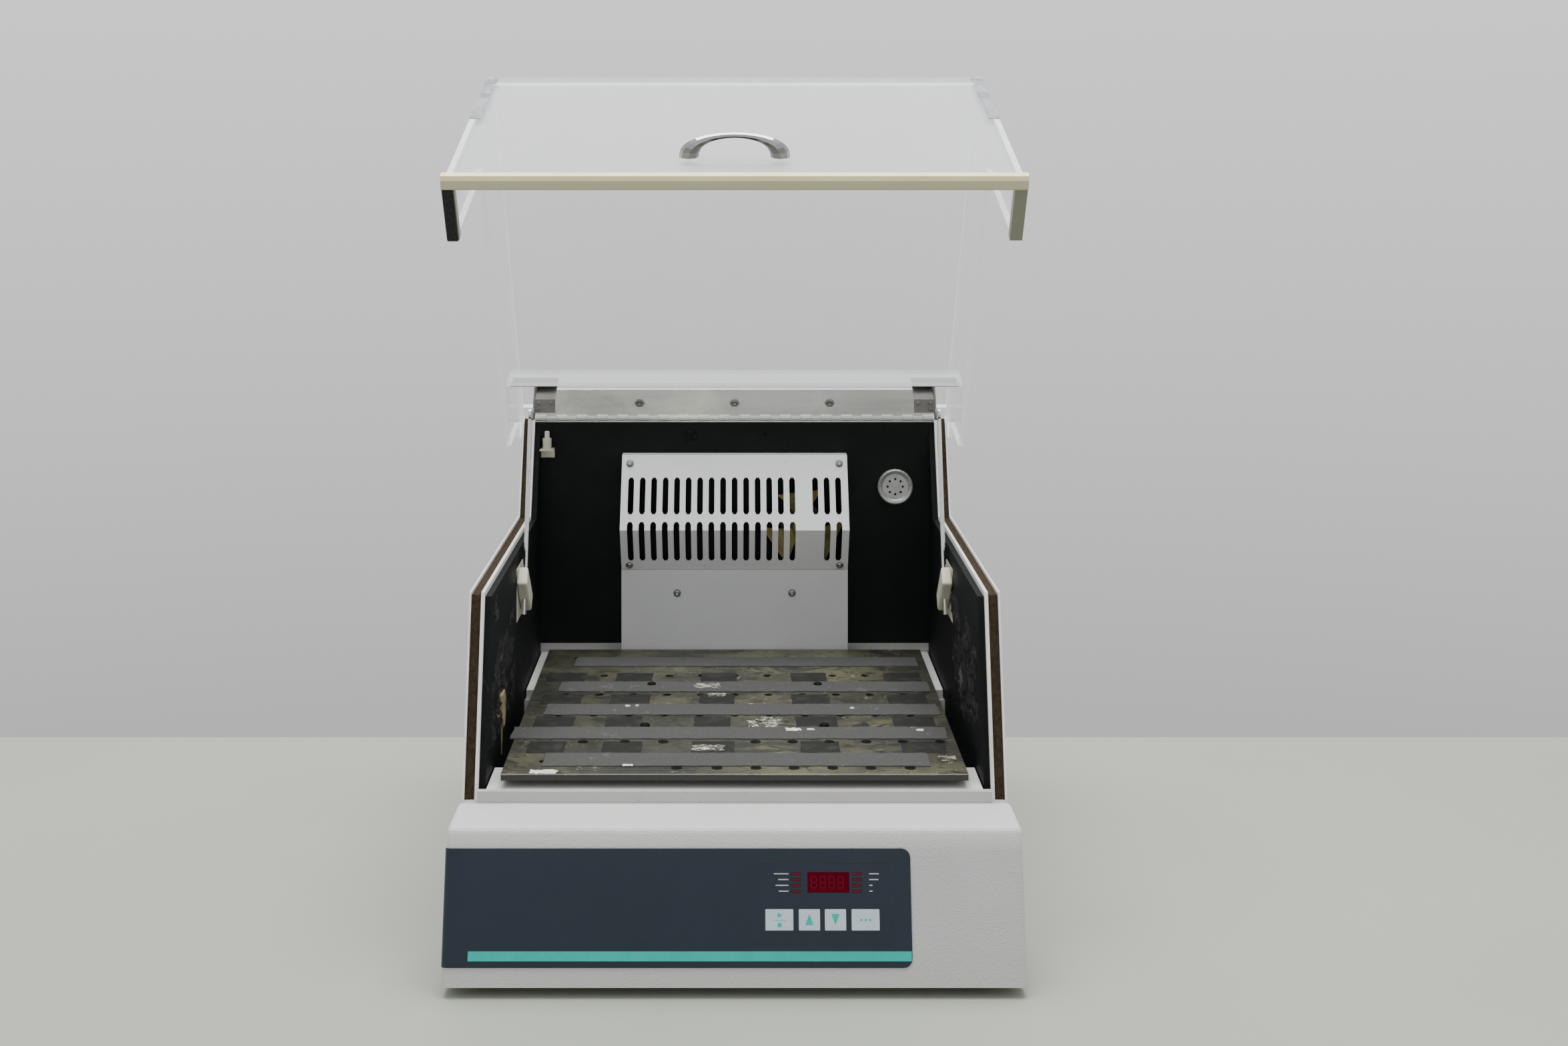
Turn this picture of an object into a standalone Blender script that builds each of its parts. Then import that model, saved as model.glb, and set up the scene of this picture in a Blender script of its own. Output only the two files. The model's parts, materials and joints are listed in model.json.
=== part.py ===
# Benchtop shaking incubator with an open acrylic lid.
# Metres, +Z up, -Y is the front, the origin is on the table under the middle of the box.
import bpy
import bmesh
from math import acos, asin, atan2, cos, hypot, pi, radians, sin, tan
from mathutils import Matrix, Vector

# Gaps
GAP = 0.0003
SLIDE_GAP = 0.0006

# Housing
BODY_WIDTH = 0.532
BODY_BACK_Y = 0.312
FOOT_HEIGHT = 0.010
FOOT_RADIUS = 0.015
FOOT_INSET = 0.036
PAN_SETBACK = 0.012
PAN_FLANGE = 0.020
DECK_Z = 0.145
SHEET = 0.0015
SKIN = 0.002
WALL_THICKNESS = 0.0154
INNER_SKIN = 0.0034
LINER = 0.0063
REAR_LINER = 0.010
FOAM_RECESS = 0.003
LINER_RECESS = 0.005
REAR_LINER_LIFT = 0.012
WALL_FRONT_Y = -0.208
FRONT_LEAN = radians(14.3)
SHOULDER_Z = 0.337
EAR_LEAN = radians(23)
EAR_RADIUS = 0.012
EAR_Z = 0.440
REAR_FOAM = 0.0085
RAIL_LIP = 0.004
RAIL_DROP = 0.016

# Front cover and its panel
COVER_WIDTH = BODY_WIDTH + 0.007
COVER_FRONT_Y = -0.312
COVER_BACK_Y = -0.214
COVER_WALL = 0.0032
COVER_ROUND = 0.006
LABEL_THICKNESS = 0.0008
LABEL_RIGHT_X = 0.1636
LABEL_LOW = 0.0171
LABEL_HIGH = 0.1204
LABEL_ROUND = 0.008
KEY_LOW = 0.0491
KEY_HEIGHT = 0.0184
KEY_LEFTS = (0.0284, 0.0593, 0.0834, 0.1081)
KEY_WIDTHS = (0.0259, 0.0197, 0.0197, 0.0259)
KEY_NAMES = ("key_start", "key_up", "key_down", "key_select")
KEY_PROUD = 0.0006
KEY_DEPTH = 0.0026
KEY_TRAVEL = 0.0006
DOME_HALF = 0.003
DISPLAY_LEFT = 0.0679
DISPLAY_LOW = 0.0822
DISPLAY_WIDTH = 0.0383
DISPLAY_HEIGHT = 0.0172
LAMP_LEFTS = (0.0528, 0.1093)
LAMP_WIDTH = 0.0084
LAMP_HEIGHT = 0.002
LAMP_PITCH = 0.00505
LAMPS_PER_SIDE = 4
PANEL_MARGIN = 0.006
BOARD_THICKNESS = 0.0016

# Chamber floor and drive
PIT_AHEAD = 0.156075
PIT_BEHIND = 0.111925
PIT_CHAMFER = 0.006
PIT_FLOOR_Z = 0.112
LEDGE_SETBACK = 0.002
SILL_DEPTH = 0.007
LEDGE_Z = 0.156
PLATFORM_WIDTH = BODY_WIDTH - 0.0748
PLATFORM_DEPTH = 0.4572
PLATFORM_THICKNESS = 0.00635
PLATFORM_TOP_Z = 0.170
PLATFORM_BACK_Y = 0.2522
ORBIT_RADIUS = 0.009525
HOLE_PITCH = 0.0381
HOLE_RADIUS = 0.005
HOLE_COLUMNS = 11
HOLE_ROW_STEP = 2
TAPE_THICKNESS = 0.0006
TAPE_WIDTH = 0.038
TAPES = (
    (0.042, 0.0386, 0.0346),
    (0.127, -0.0034, 0.0076),
    (0.209, 0.0226, 0.0066),
    (0.296, 0.0296, 0.0076),
    (0.400, 0.0386, 0.0106),
)
PLATFORM_SCREWS = (0.09525, 0.0762)
CARRIER_SIDE = 0.290
CARRIER_THICKNESS = 0.006
CARRIER_CORNER = 0.060
CARRIER_HUB_RADIUS = 0.016
SHAFT_RADIUS = 0.010
CRANK_PIN_RADIUS = 0.006
CRANK_RADIUS = 0.020
CRANK_THICKNESS = 0.008
HOUSING_RADIUS = 0.030
HOUSING_FLANGE_RADIUS = 0.045
HOUSING_DEPTH = 0.046
BEARING_RADIUS = 0.021
BEARING_WIDTH = 0.012
BEARING_LIP = 0.004
FLANGE_THICKNESS = 0.005
WEIGHT_RADIUS = 0.052
WEIGHT_THICKNESS = 0.010
IDLER_SPREAD_X = 0.110
IDLER_SPREAD_Y = 0.074
IDLER_HOUSING_RADIUS = 0.017
IDLER_SHAFT_RADIUS = 0.005
IDLER_DISC_RADIUS = 0.018
IDLER_DISC_THICKNESS = 0.007
IDLER_PIN_RADIUS = 0.004
PULLEY_Z = 0.044
PULLEY_WIDTH = 0.014
SHAFT_PULLEY_RADIUS = 0.042
MOTOR_PULLEY_RADIUS = 0.014
PULLEY_LIP = 0.003
PULLEY_EDGE = 0.0015
SHAFT_TAIL = 0.004
BELT_THICKNESS = 0.003
MOTOR_X = 0.125
MOTOR_AHEAD = 0.076075
MOTOR_RADIUS = 0.036
MOTOR_SHAFT_RADIUS = 0.004
MOTOR_ROUND = 0.004

# Lid, measured in its closed position forward (u) and up (v) from the hinge axis
HINGE_Y = 0.298
HINGE_Z = 0.450
LID_OPEN = radians(55)
ACRYLIC = 0.006
LID_TOP_V = 0.0095
LID_TOP_START_U = 0.014
LID_CORNER_U = 0.498
LID_BOTTOM_V = -0.297
LID_LEG_LENGTH = 0.070
CHEEK_SHOULDER_V = -0.110
CHEEK_SLOPE_U = 0.056
LOBE_U = 0.008
LOBE_V = -0.018
LOBE_RADIUS = 0.018
TRIM_WIDTH = 0.012
TRIM_BELOW = 0.003
TRIM_ABOVE = 0.007
TRIM_INSIDE = 0.010
TRIM_OUTSIDE = 0.004
GASKET_THICKNESS = 0.0024
KNUCKLE_RADIUS = 0.0032
PIN_RADIUS = 0.0014
KNUCKLE_COUNT = 39
HINGE_LENGTH = BODY_WIDTH - 0.032
LID_LEAF_WIDTH = 0.046
SCREW_PITCH = HINGE_LENGTH * 0.238
HANDLE_SPAN = 0.108
HANDLE_RISE = 0.025
HANDLE_WIDTH = 0.013
HANDLE_FOOT = 0.019
HANDLE_BAR = 0.0052
HANDLE_UP = 0.060

# Lid stays and baffle
BAFFLE_TOP = (0.127, -0.060)
BAFFLE_LOW = (0.144, -0.102)
BAFFLE_THICKNESS = 0.004
STAY_PIVOT = (0.122, -0.126)
STAY_X = BODY_WIDTH / 2 - 0.0285
STAY_RADIUS = 0.0025
STAY_EYE_RADIUS = 0.0062
STAY_TAIL = 0.028
BRACKET_INNER_X = STAY_X - 0.0295
BRACKET_OUTER_X = STAY_X + 0.0245
BRACKET_SHEET = 0.0018
BRACKET_SCREWS = (0.009, 0.022)
LUG_RADIUS = 0.007
BLOCK_Y = 0.070
BLOCK_Z = 0.287
BLOCK_LENGTH = 0.062
BLOCK_WIDTH = 0.022
BLOCK_THICKNESS = 0.0118
BLOCK_TILT = radians(-42)
PLATE_LOW = (0.048, 0.253)
PLATE_HIGH = (0.108, 0.314)
PLATE_THICKNESS = 0.0066

# Duct, fan and heater on the back wall
DUCT_WIDTH = 0.280
DUCT_PANEL_Y = 0.257
GRILLE_TOP = (0.274, 0.407)
GRILLE_BEND = (0.223, 0.323)
GRILLE_LOW = (0.259, 0.268)
DUCT_SCREW_X = DUCT_WIDTH / 2 - 0.010
PANEL_SCREW_X = DUCT_WIDTH * 0.2536
PANEL_SCREW_Z = 0.239
SLOT_COLUMNS = 19
SLOT_PITCH = DUCT_WIDTH / 19.72
SLOT_WIDTH = SLOT_PITCH / 2
UPPER_SLOTS = (0.3398, 0.3818)
LOWER_SLOTS = (0.2796, 0.3326)
UPPER_BLANKS = (15,)
LOWER_BLANKS = (15, 16)
HEATER_RADIUS = 0.004
HEATER_BEND = 0.018
HEATER_REACH = 0.070
HEATER_Y = 0.276
HEATER_TOP_Z = 0.252
FAN_X = 0.0852
FAN_Z = 0.318
FAN_RADIUS = 0.052
FAN_BLADES = 3
BLADE_START = radians(215)
FAN_HUB_RADIUS = 0.014
FAN_HUB_REACH = 0.0115
FAN_MOTOR_RADIUS = 0.027
FAN_MOTOR_DEPTH = 0.0135
FAN_SHAFT_RADIUS = 0.0025
BLADE_SHEET = 0.0012
BLADE_PITCH = 0.0038
BLADE_DEPTH = 0.0058
VENT_X = BODY_WIDTH / 2 - 0.0645
VENT_Z = 0.365
VENT_RADIUS = 0.022
VENT_HOLES = 8
VENT_HOLE_CIRCLE = 0.0095
VENT_HOLE_RADIUS = 0.00135
REAR_SLOTS = 9
REAR_SLOT_X = 0.080
REAR_SLOT_PITCH = 0.014
REAR_SLOT_SPAN = (0.050, 0.100)
REAR_SLOT_WIDTH = 0.005

# Lid switch and power inlet
SWITCH_X = 0.0315 - BODY_WIDTH / 2
SWITCH_HALF = 0.0085
SWITCH_Y = 0.281
SWITCH_Z = 0.4135
SWITCH_RADIUS = 0.0055
SWITCH_HEIGHT = 0.013
SWITCH_DROP = 0.012
PLUNGER_RADIUS = 0.003
PLUNGER_RISE = 0.009
INLET_X = 0.096 - BODY_WIDTH / 2
INLET_Z = 0.075
INLET_SOCKET = (0.0236, 0.0150, 0.018)
MODULE_HEIGHT = 0.0274
MODULE_DEPTH = 0.030
ROCKER_X = INLET_X + 0.060
ROCKER_FRAME = (0.0170, 0.0230, 0.016)
ROCKER_TILT = radians(7)
ROCKER_DEPTH = 0.008
INLET_PINS = ((-0.006, -0.0015), (0.006, -0.0015), (0, 0.0025))
# Side view of the rocker (y, z), with its hollow face outward
ROCKER_SIDE = ((0.0045, 0.0105), (-0.0048, 0.0050), (-0.0048, -0.0050), (0.0045, -0.0105),
               (0.0033, -0.0050), (0.0030, 0.0), (0.0033, 0.0050))

# Worked out from the driving sizes
HALF_BODY = BODY_WIDTH / 2
SKIN_INNER_X = HALF_BODY - SKIN
INNER_SKIN_X = HALF_BODY - WALL_THICKNESS
PIT_HALF_WIDTH = INNER_SKIN_X - GAP
LINER_X = INNER_SKIN_X - GAP - LINER
SKIN_BACK_Y = BODY_BACK_Y - SKIN
EAR_Y = BODY_BACK_Y - EAR_RADIUS
REAR_SKIN_Y = SKIN_BACK_Y - REAR_FOAM
REAR_LINER_BACK = REAR_SKIN_Y - GAP
REAR_LINER_FACE = REAR_LINER_BACK - REAR_LINER
HINGE_RAIL_Z = HINGE_Z - KNUCKLE_RADIUS - GAP
COVER_BEND_Y = COVER_FRONT_Y + (DECK_Z - FOOT_HEIGHT) * tan(FRONT_LEAN)
ORBIT_Y = PLATFORM_BACK_Y - PLATFORM_DEPTH / 2 - ORBIT_RADIUS
PIT_FRONT_Y = ORBIT_Y - PIT_AHEAD
PIT_BACK_Y = ORBIT_Y + PIT_BEHIND
LEDGE_FRONT_Y = PIT_BACK_Y + LEDGE_SETBACK
MOTOR_Y = ORBIT_Y - MOTOR_AHEAD
PLATFORM_LOW_Z = PLATFORM_TOP_Z - PLATFORM_THICKNESS
CARRIER_Z = PLATFORM_LOW_Z - GAP - CARRIER_THICKNESS
FLANGE_TOP_Z = PIT_FLOOR_Z + GAP + FLANGE_THICKNESS
WEIGHT_Z = FLANGE_TOP_Z + 0.004
IDLER_BOSS_Z = FLANGE_TOP_Z + 0.004
CRANK_Z = WEIGHT_Z + WEIGHT_THICKNESS + GAP
CRANK_TOP_Z = CRANK_Z + CRANK_THICKNESS
CHEEK_INNER_X = HALF_BODY + SLIDE_GAP
CHEEK_MID_X = CHEEK_INNER_X + ACRYLIC / 2
PANEL_HALF = CHEEK_INNER_X - GAP

CREAM = (0.80, 0.76, 0.60)
WHITE = (0.78, 0.78, 0.76)
STEEL = (0.55, 0.55, 0.54)
ALLOY = (0.50, 0.50, 0.52)
DARK = (0.05, 0.05, 0.055)
BLACK = (0.02, 0.02, 0.02)
NYLON = (0.78, 0.77, 0.72)
CLEAR = (0.86, 0.89, 0.90)
DUCT_GREY = (0.63, 0.64, 0.65)

scene = bpy.context.scene
for old in list(bpy.data.objects):
    bpy.data.objects.remove(old, do_unlink=True)


def material(name, colour, roughness, metallic=0.0):
    made = bpy.data.materials.new(name)
    made.use_nodes = True
    shader = made.node_tree.nodes["Principled BSDF"]
    shader.inputs["Base Color"].default_value = (*colour, 1.0)
    shader.inputs["Roughness"].default_value = roughness
    shader.inputs["Metallic"].default_value = metallic
    return made


def add_node(name, bm, colour, roughness, metallic=0.0, parent=None, smooth=False):
    """Turns a bmesh into one named object with its own material."""
    bmesh.ops.remove_doubles(bm, verts=bm.verts, dist=0.00001)
    bmesh.ops.recalc_face_normals(bm, faces=bm.faces)
    mesh = bpy.data.meshes.new(name)
    bm.to_mesh(mesh)
    bm.free()
    made = bpy.data.objects.new(name, mesh)
    scene.collection.objects.link(made)
    mesh.materials.append(material(name, colour, roughness, metallic))
    made.parent = parent
    if smooth:
        mesh.shade_smooth()
        mesh.set_sharp_from_angle(angle=radians(35))
    return made


def pivot(name, place, turn=(0, 0, 0), parent=None):
    """An empty on a joint's axis, which carries the pieces that turn with it."""
    made = bpy.data.objects.new(name, None)
    scene.collection.objects.link(made)
    made.parent = parent
    made.location = place
    made.rotation_euler = turn
    return made


def reshape(target, bm, operation):
    """Adds or cuts a bmesh from a node with an exact Boolean."""
    bmesh.ops.recalc_face_normals(bm, faces=bm.faces)
    mesh = bpy.data.meshes.new(target.name + "_tool")
    bm.to_mesh(mesh)
    bm.free()
    tool = bpy.data.objects.new(target.name + "_tool", mesh)
    scene.collection.objects.link(tool)
    tool.parent = target.parent
    tool.hide_render = True
    tool.display_type = "WIRE"
    change = target.modifiers.new(operation.title(), "BOOLEAN")
    change.operation = operation
    change.solver = "EXACT"
    change.use_self = operation == "UNION"
    change.object = tool


def cut(target, bm):
    reshape(target, bm, "DIFFERENCE")


def join(target, bm):
    reshape(target, bm, "UNION")


def add_prism(bm, outline, axis, low, high):
    """Extrudes an outline along X (y, z), Y (x, z) or Z (x, y)."""
    def place(a, b, depth):
        if axis == "X":
            return (depth, a, b)
        if axis == "Y":
            return (a, depth, b)
        return (a, b, depth)

    ends = []
    for depth in (low, high):
        ends.append([bm.verts.new(place(a, b, depth)) for a, b in outline])
    bm.faces.new(ends[0])
    bm.faces.new(list(reversed(ends[1])))
    count = len(outline)
    for i in range(count):
        j = (i + 1) % count
        bm.faces.new((ends[0][i], ends[1][i], ends[1][j], ends[0][j]))
    return bm


def add_box(bm, low, high):
    outline = ((low[0], low[1]), (high[0], low[1]), (high[0], high[1]), (low[0], high[1]))
    return add_prism(bm, outline, "Z", low[2], high[2])


def prism(outline, axis, low, high):
    return add_prism(bmesh.new(), outline, axis, low, high)


def box(low, high):
    return add_box(bmesh.new(), low, high)


def add_turned(bm, profile, place=Matrix.Identity(4), segments=24):
    """Turns a closed (radius, height) profile about the local Z axis."""
    rings = []
    for radius, height in profile:
        if radius < 1e-6:
            rings.append([bm.verts.new(place @ Vector((0, 0, height)))])
            continue
        ring = []
        for i in range(segments):
            angle = 2 * pi * i / segments
            ring.append(bm.verts.new(place @ Vector((radius * cos(angle), radius * sin(angle), height))))
        rings.append(ring)
    for a, b in zip(rings, rings[1:] + rings[:1]):
        if len(a) == 1 and len(b) == 1:
            continue
        for i in range(segments):
            j = (i + 1) % segments
            corners = [a[i % len(a)], a[j % len(a)], b[j % len(b)], b[i % len(b)]]
            unique = list(dict.fromkeys(corners))
            bm.faces.new(unique)
    return bm


def turned(profile, place=Matrix.Identity(4), segments=24):
    return add_turned(bmesh.new(), profile, place, segments)


def disc(radius, low, high, inner=0.0):
    """The profile of a disc, or of a ring with a bore."""
    return [(inner, low), (radius, low), (radius, high), (inner, high)]


def along(point, direction):
    """A frame at a point with its Z axis along a direction."""
    turn = Vector(direction).normalized().to_track_quat("Z", "Y").to_matrix().to_4x4()
    return Matrix.Translation(point) @ turn


def at(x, y, z=0.0):
    return Matrix.Translation((x, y, z))


def arc(centre, radius, start, end, steps):
    """Points on an arc, angles in degrees."""
    points = []
    for i in range(steps + 1):
        angle = radians(start + (end - start) * i / steps)
        points.append((centre[0] + radius * cos(angle), centre[1] + radius * sin(angle)))
    return points


def slot_outline(x, low, high, width, steps=4):
    """An upright slot with round ends."""
    radius = width / 2
    top = arc((x, high - radius), radius, 0, 180, steps)
    bottom = arc((x, low + radius), radius, 180, 360, steps)
    return top + bottom


def wall_outline(inset=0.0, rear=BODY_BACK_Y, low=DECK_Z + GAP):
    """Side view of a chamber wall: leaning front, level shoulder, leaning ear and upright back."""
    front_shift = inset / cos(FRONT_LEAN)
    slope = tan(FRONT_LEAN)
    shoulder = SHOULDER_Z - inset
    radius = EAR_RADIUS - inset
    start = 180 - EAR_LEAN * 180 / pi
    end = acos(min(1.0, (rear - EAR_Y) / radius)) * 180 / pi
    ear = arc((EAR_Y, EAR_Z), radius, start, end, 5)
    neck = (ear[0][0] - (ear[0][1] - shoulder) * tan(EAR_LEAN), shoulder)
    front = WALL_FRONT_Y + front_shift
    points = [
        (front + (low - DECK_Z) * slope, low),
        (front + (shoulder - DECK_Z) * slope, shoulder),
        neck,
    ]
    return points + ear + [(min(rear, EAR_Y + radius), low)]


def module_ends():
    """Left and right ends of the module that holds the inlet and the rocker."""
    return INLET_X - INLET_SOCKET[0] / 2 - 0.0019, ROCKER_X + ROCKER_FRAME[0] / 2 + 0.0022


def make_base():
    half = SKIN_INNER_X - GAP
    back = SKIN_BACK_Y - GAP
    front = COVER_FRONT_Y + PAN_SETBACK
    tray = box((-half, front, FOOT_HEIGHT), (half, back, FOOT_HEIGHT + PAN_FLANGE))
    pan = add_node("base_pan", tray, STEEL, 0.5, 0.8)
    cut(pan, box((-half + SHEET, front + SHEET, FOOT_HEIGHT + SHEET), (half - SHEET, back - SHEET, DECK_Z)))
    feet = bmesh.new()
    for x in (-1, 1):
        for y in (-1, 1):
            spot = at(x * (HALF_BODY - FOOT_INSET), y * (BODY_BACK_Y - FOOT_INSET))
            top = FOOT_HEIGHT + SHEET / 2
            add_turned(feet, [(0, 0), (FOOT_RADIUS * 0.85, 0), (FOOT_RADIUS, top), (0, top)], spot, 16)
    join(pan, feet)


def make_walls():
    """Nested U-shaped shells: painted outside, foam core, white inner skin and black foam liner."""
    # The outer shell runs under the front cover, so its lower front corners follow the cover's lean
    under = DECK_Z - COVER_ROUND
    toe = COVER_FRONT_Y + PAN_SETBACK
    panel = [(toe, FOOT_HEIGHT), (toe + (under - FOOT_HEIGHT) * tan(FRONT_LEAN), under)]
    panel += wall_outline(low=under)[:-1] + [(BODY_BACK_Y, FOOT_HEIGHT)]
    rail_low = HINGE_RAIL_Z - SHEET
    rail_back = SKIN_BACK_Y - GAP
    skin_back = REAR_SKIN_Y + SHEET

    shell = add_node("outer_shell", prism(panel, "X", SKIN_INNER_X, HALF_BODY), WHITE, 0.45)
    rest = prism(panel, "X", -HALF_BODY, -SKIN_INNER_X)
    lap = SKIN_INNER_X + SKIN / 2
    join(shell, box((-lap, SKIN_BACK_Y, FOOT_HEIGHT), (lap, BODY_BACK_Y - 0.00001, HINGE_RAIL_Z)))
    join(shell, rest)
    left, right = module_ends()
    high = MODULE_HEIGHT / 2 + GAP
    openings = box((left - GAP, 0.25, INLET_Z - high), (right + GAP, 1, INLET_Z + high))
    for i in range(REAR_SLOTS):
        slot = slot_outline(REAR_SLOT_X + REAR_SLOT_PITCH * i, *REAR_SLOT_SPAN, REAR_SLOT_WIDTH, 3)
        add_prism(openings, slot, "Y", 0.25, 1)
    cut(shell, openings)

    foam = wall_outline(FOAM_RECESS, rear=rail_back)
    low, high = INNER_SKIN_X + INNER_SKIN + GAP, SKIN_INNER_X - GAP
    core = add_node("wall_foam", prism(foam, "X", low, high), (0.17, 0.09, 0.05), 0.95)
    join(core, box((-high + SHEET, skin_back + GAP, DECK_Z + GAP),
                   (high - SHEET, rail_back - GAP - SHEET, rail_low - GAP)))
    join(core, prism(foam, "X", -high, -low))

    low, high = INNER_SKIN_X, INNER_SKIN_X + INNER_SKIN
    skin = wall_outline(rear=rail_back)
    sheets = add_prism(prism(skin, "X", low, high), skin, "X", -high, -low)
    inner = add_node("inner_skin", sheets, WHITE, 0.4)
    cut(inner, box((-1, skin_back, 0), (1, 1, rail_low)))
    join(inner, box((-high + SHEET, REAR_SKIN_Y, DECK_Z + GAP),
                    (high - SHEET, skin_back - 0.00001, rail_low - GAP)))

    half = INNER_SKIN_X - GAP
    rail_front = EAR_Y - RAIL_LIP
    rail_drop = HINGE_RAIL_Z - RAIL_DROP
    rail = [(rail_front, HINGE_RAIL_Z), (rail_front, rail_low), (rail_back - SHEET, rail_low),
            (rail_back - SHEET, rail_drop), (rail_back, rail_drop), (rail_back, HINGE_RAIL_Z)]
    add_node("hinge_rail", prism(rail, "X", -half, half), STEEL, 0.45, 0.8)

    side = wall_outline(LINER_RECESS, rear=BODY_BACK_Y, low=DECK_Z + 2 * GAP)
    sides = prism(side, "X", LINER_X, half)
    add_prism(sides, side, "X", -half, -LINER_X)
    liner = add_node("foam_liner", sides, BLACK, 0.7)
    cut(liner, box((-1, REAR_LINER_FACE + SHEET, 0), (1, 1, 1)))
    cut(liner, box((-1, PLATE_LOW[0] - GAP, PLATE_LOW[1] - GAP),
                   (1, PLATE_HIGH[0] + GAP, PLATE_HIGH[1] + GAP)))
    front, rear = PIT_FRONT_Y + PIT_CHAMFER, PIT_BACK_Y - PIT_CHAMFER
    overlap = DECK_Z + 2 * LINER_RECESS
    for side in (-1, 1):
        near, far = sorted((side * LINER_X, side * (half - GAP)))
        join(liner, box((near, front, PIT_FLOOR_Z + GAP), (far, rear, overlap)))
    join(liner, box((-half, REAR_LINER_FACE, LEDGE_Z + REAR_LINER_LIFT),
                    (half, REAR_LINER_BACK, rail_low - GAP)))


def face_frame():
    """The empty on the front cover's face: x across, y up the face, z out of it."""
    return pivot("front_face", (0, COVER_FRONT_Y, FOOT_HEIGHT), (pi / 2 - FRONT_LEAN, 0, 0))


def make_front_cover(face):
    half = COVER_WIDTH / 2
    side = [(COVER_FRONT_Y, FOOT_HEIGHT), (COVER_BEND_Y, DECK_Z), (COVER_BACK_Y, DECK_Z),
            (COVER_BACK_Y, FOOT_HEIGHT)]
    bm = bmesh.new()
    left, right = [[bm.verts.new((x, y, z)) for y, z in side] for x in (-half, half)]
    bm.faces.new((left[0], right[0], right[1], left[1]))
    bm.faces.new((left[1], right[1], right[2], left[2]))
    bm.faces.new(left)
    bm.faces.new(right)
    folds = [edge for edge in bm.edges if len(edge.link_faces) == 2]
    bmesh.ops.recalc_face_normals(bm, faces=bm.faces)
    bmesh.ops.bevel(bm, geom=folds, offset=COVER_ROUND, segments=4, profile=0.5, affect="EDGES")
    cover = add_node("front_cover", bm, WHITE, 0.5, smooth=True)
    if sum((f.normal.dot(f.center - Vector((0, -0.25, 0.08))) for f in cover.data.polygons)) < 0:
        cover.data.flip_normals()
    wall = cover.modifiers.new("Wall", "SOLIDIFY")
    wall.thickness = COVER_WALL
    wall.offset = -1
    wall.use_even_offset = True

    low = (KEY_LEFTS[0] - PANEL_MARGIN, KEY_LOW - PANEL_MARGIN, -0.02)
    right_edge = KEY_LEFTS[3] + KEY_WIDTHS[3]
    high = (right_edge + PANEL_MARGIN, DISPLAY_LOW + DISPLAY_HEIGHT + PANEL_MARGIN, 0.02)
    window = box(low, high)
    window.transform(face.matrix_basis)
    cut(cover, window)

    # The label follows the face and wraps round the cover's left corner
    corner = (-half + COVER_ROUND, -COVER_ROUND)
    inner = arc(corner, COVER_ROUND + GAP, 90, 180, 4)
    outer = arc(corner, COVER_ROUND + GAP + LABEL_THICKNESS, 180, 90, 4)
    section = [(LABEL_RIGHT_X, GAP)] + inner + outer + [(LABEL_RIGHT_X, GAP + LABEL_THICKNESS)]
    bm = bmesh.new()
    ends = [[bm.verts.new((x, s, n)) for x, n in section] for s in (LABEL_LOW, LABEL_HIGH)]
    bm.faces.new(ends[0])
    bm.faces.new(ends[1])
    for i in range(len(section)):
        j = (i + 1) % len(section)
        bm.faces.new((ends[0][i], ends[0][j], ends[1][j], ends[1][i]))
    right_corners = []
    for edge in bm.edges:
        a, b = (v.co for v in edge.verts)
        if abs(a.x - LABEL_RIGHT_X) < 1e-6 and abs(b.x - LABEL_RIGHT_X) < 1e-6 and abs(a.z - b.z) > 1e-5:
            right_corners.append(edge)
    bmesh.ops.recalc_face_normals(bm, faces=bm.faces)
    bmesh.ops.bevel(bm, geom=right_corners, offset=LABEL_ROUND, segments=5, profile=0.5, affect="EDGES")
    label = add_node("front_label", bm, (0.027, 0.039, 0.052), 0.4, parent=face, smooth=True)
    holes = bmesh.new()
    for left_edge, width in zip(KEY_LEFTS, KEY_WIDTHS):
        add_box(holes, (left_edge - GAP, KEY_LOW - GAP, -0.01),
                (left_edge + width + GAP, KEY_LOW + KEY_HEIGHT + GAP, 0.01))
    add_box(holes, (DISPLAY_LEFT - GAP, DISPLAY_LOW - GAP, -0.01),
            (DISPLAY_LEFT + DISPLAY_WIDTH + GAP, DISPLAY_LOW + DISPLAY_HEIGHT + GAP, 0.01))
    for left_edge, low_edge in lamp_places():
        add_box(holes, (left_edge - GAP, low_edge - GAP, -0.01),
                (left_edge + LAMP_WIDTH + GAP, low_edge + LAMP_HEIGHT + GAP, 0.01))
    cut(label, holes)


def lamp_places():
    places = []
    for left_edge in LAMP_LEFTS:
        for i in range(LAMPS_PER_SIDE):
            places.append((left_edge, DISPLAY_LOW + LAMP_PITCH * i))
    return places


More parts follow.
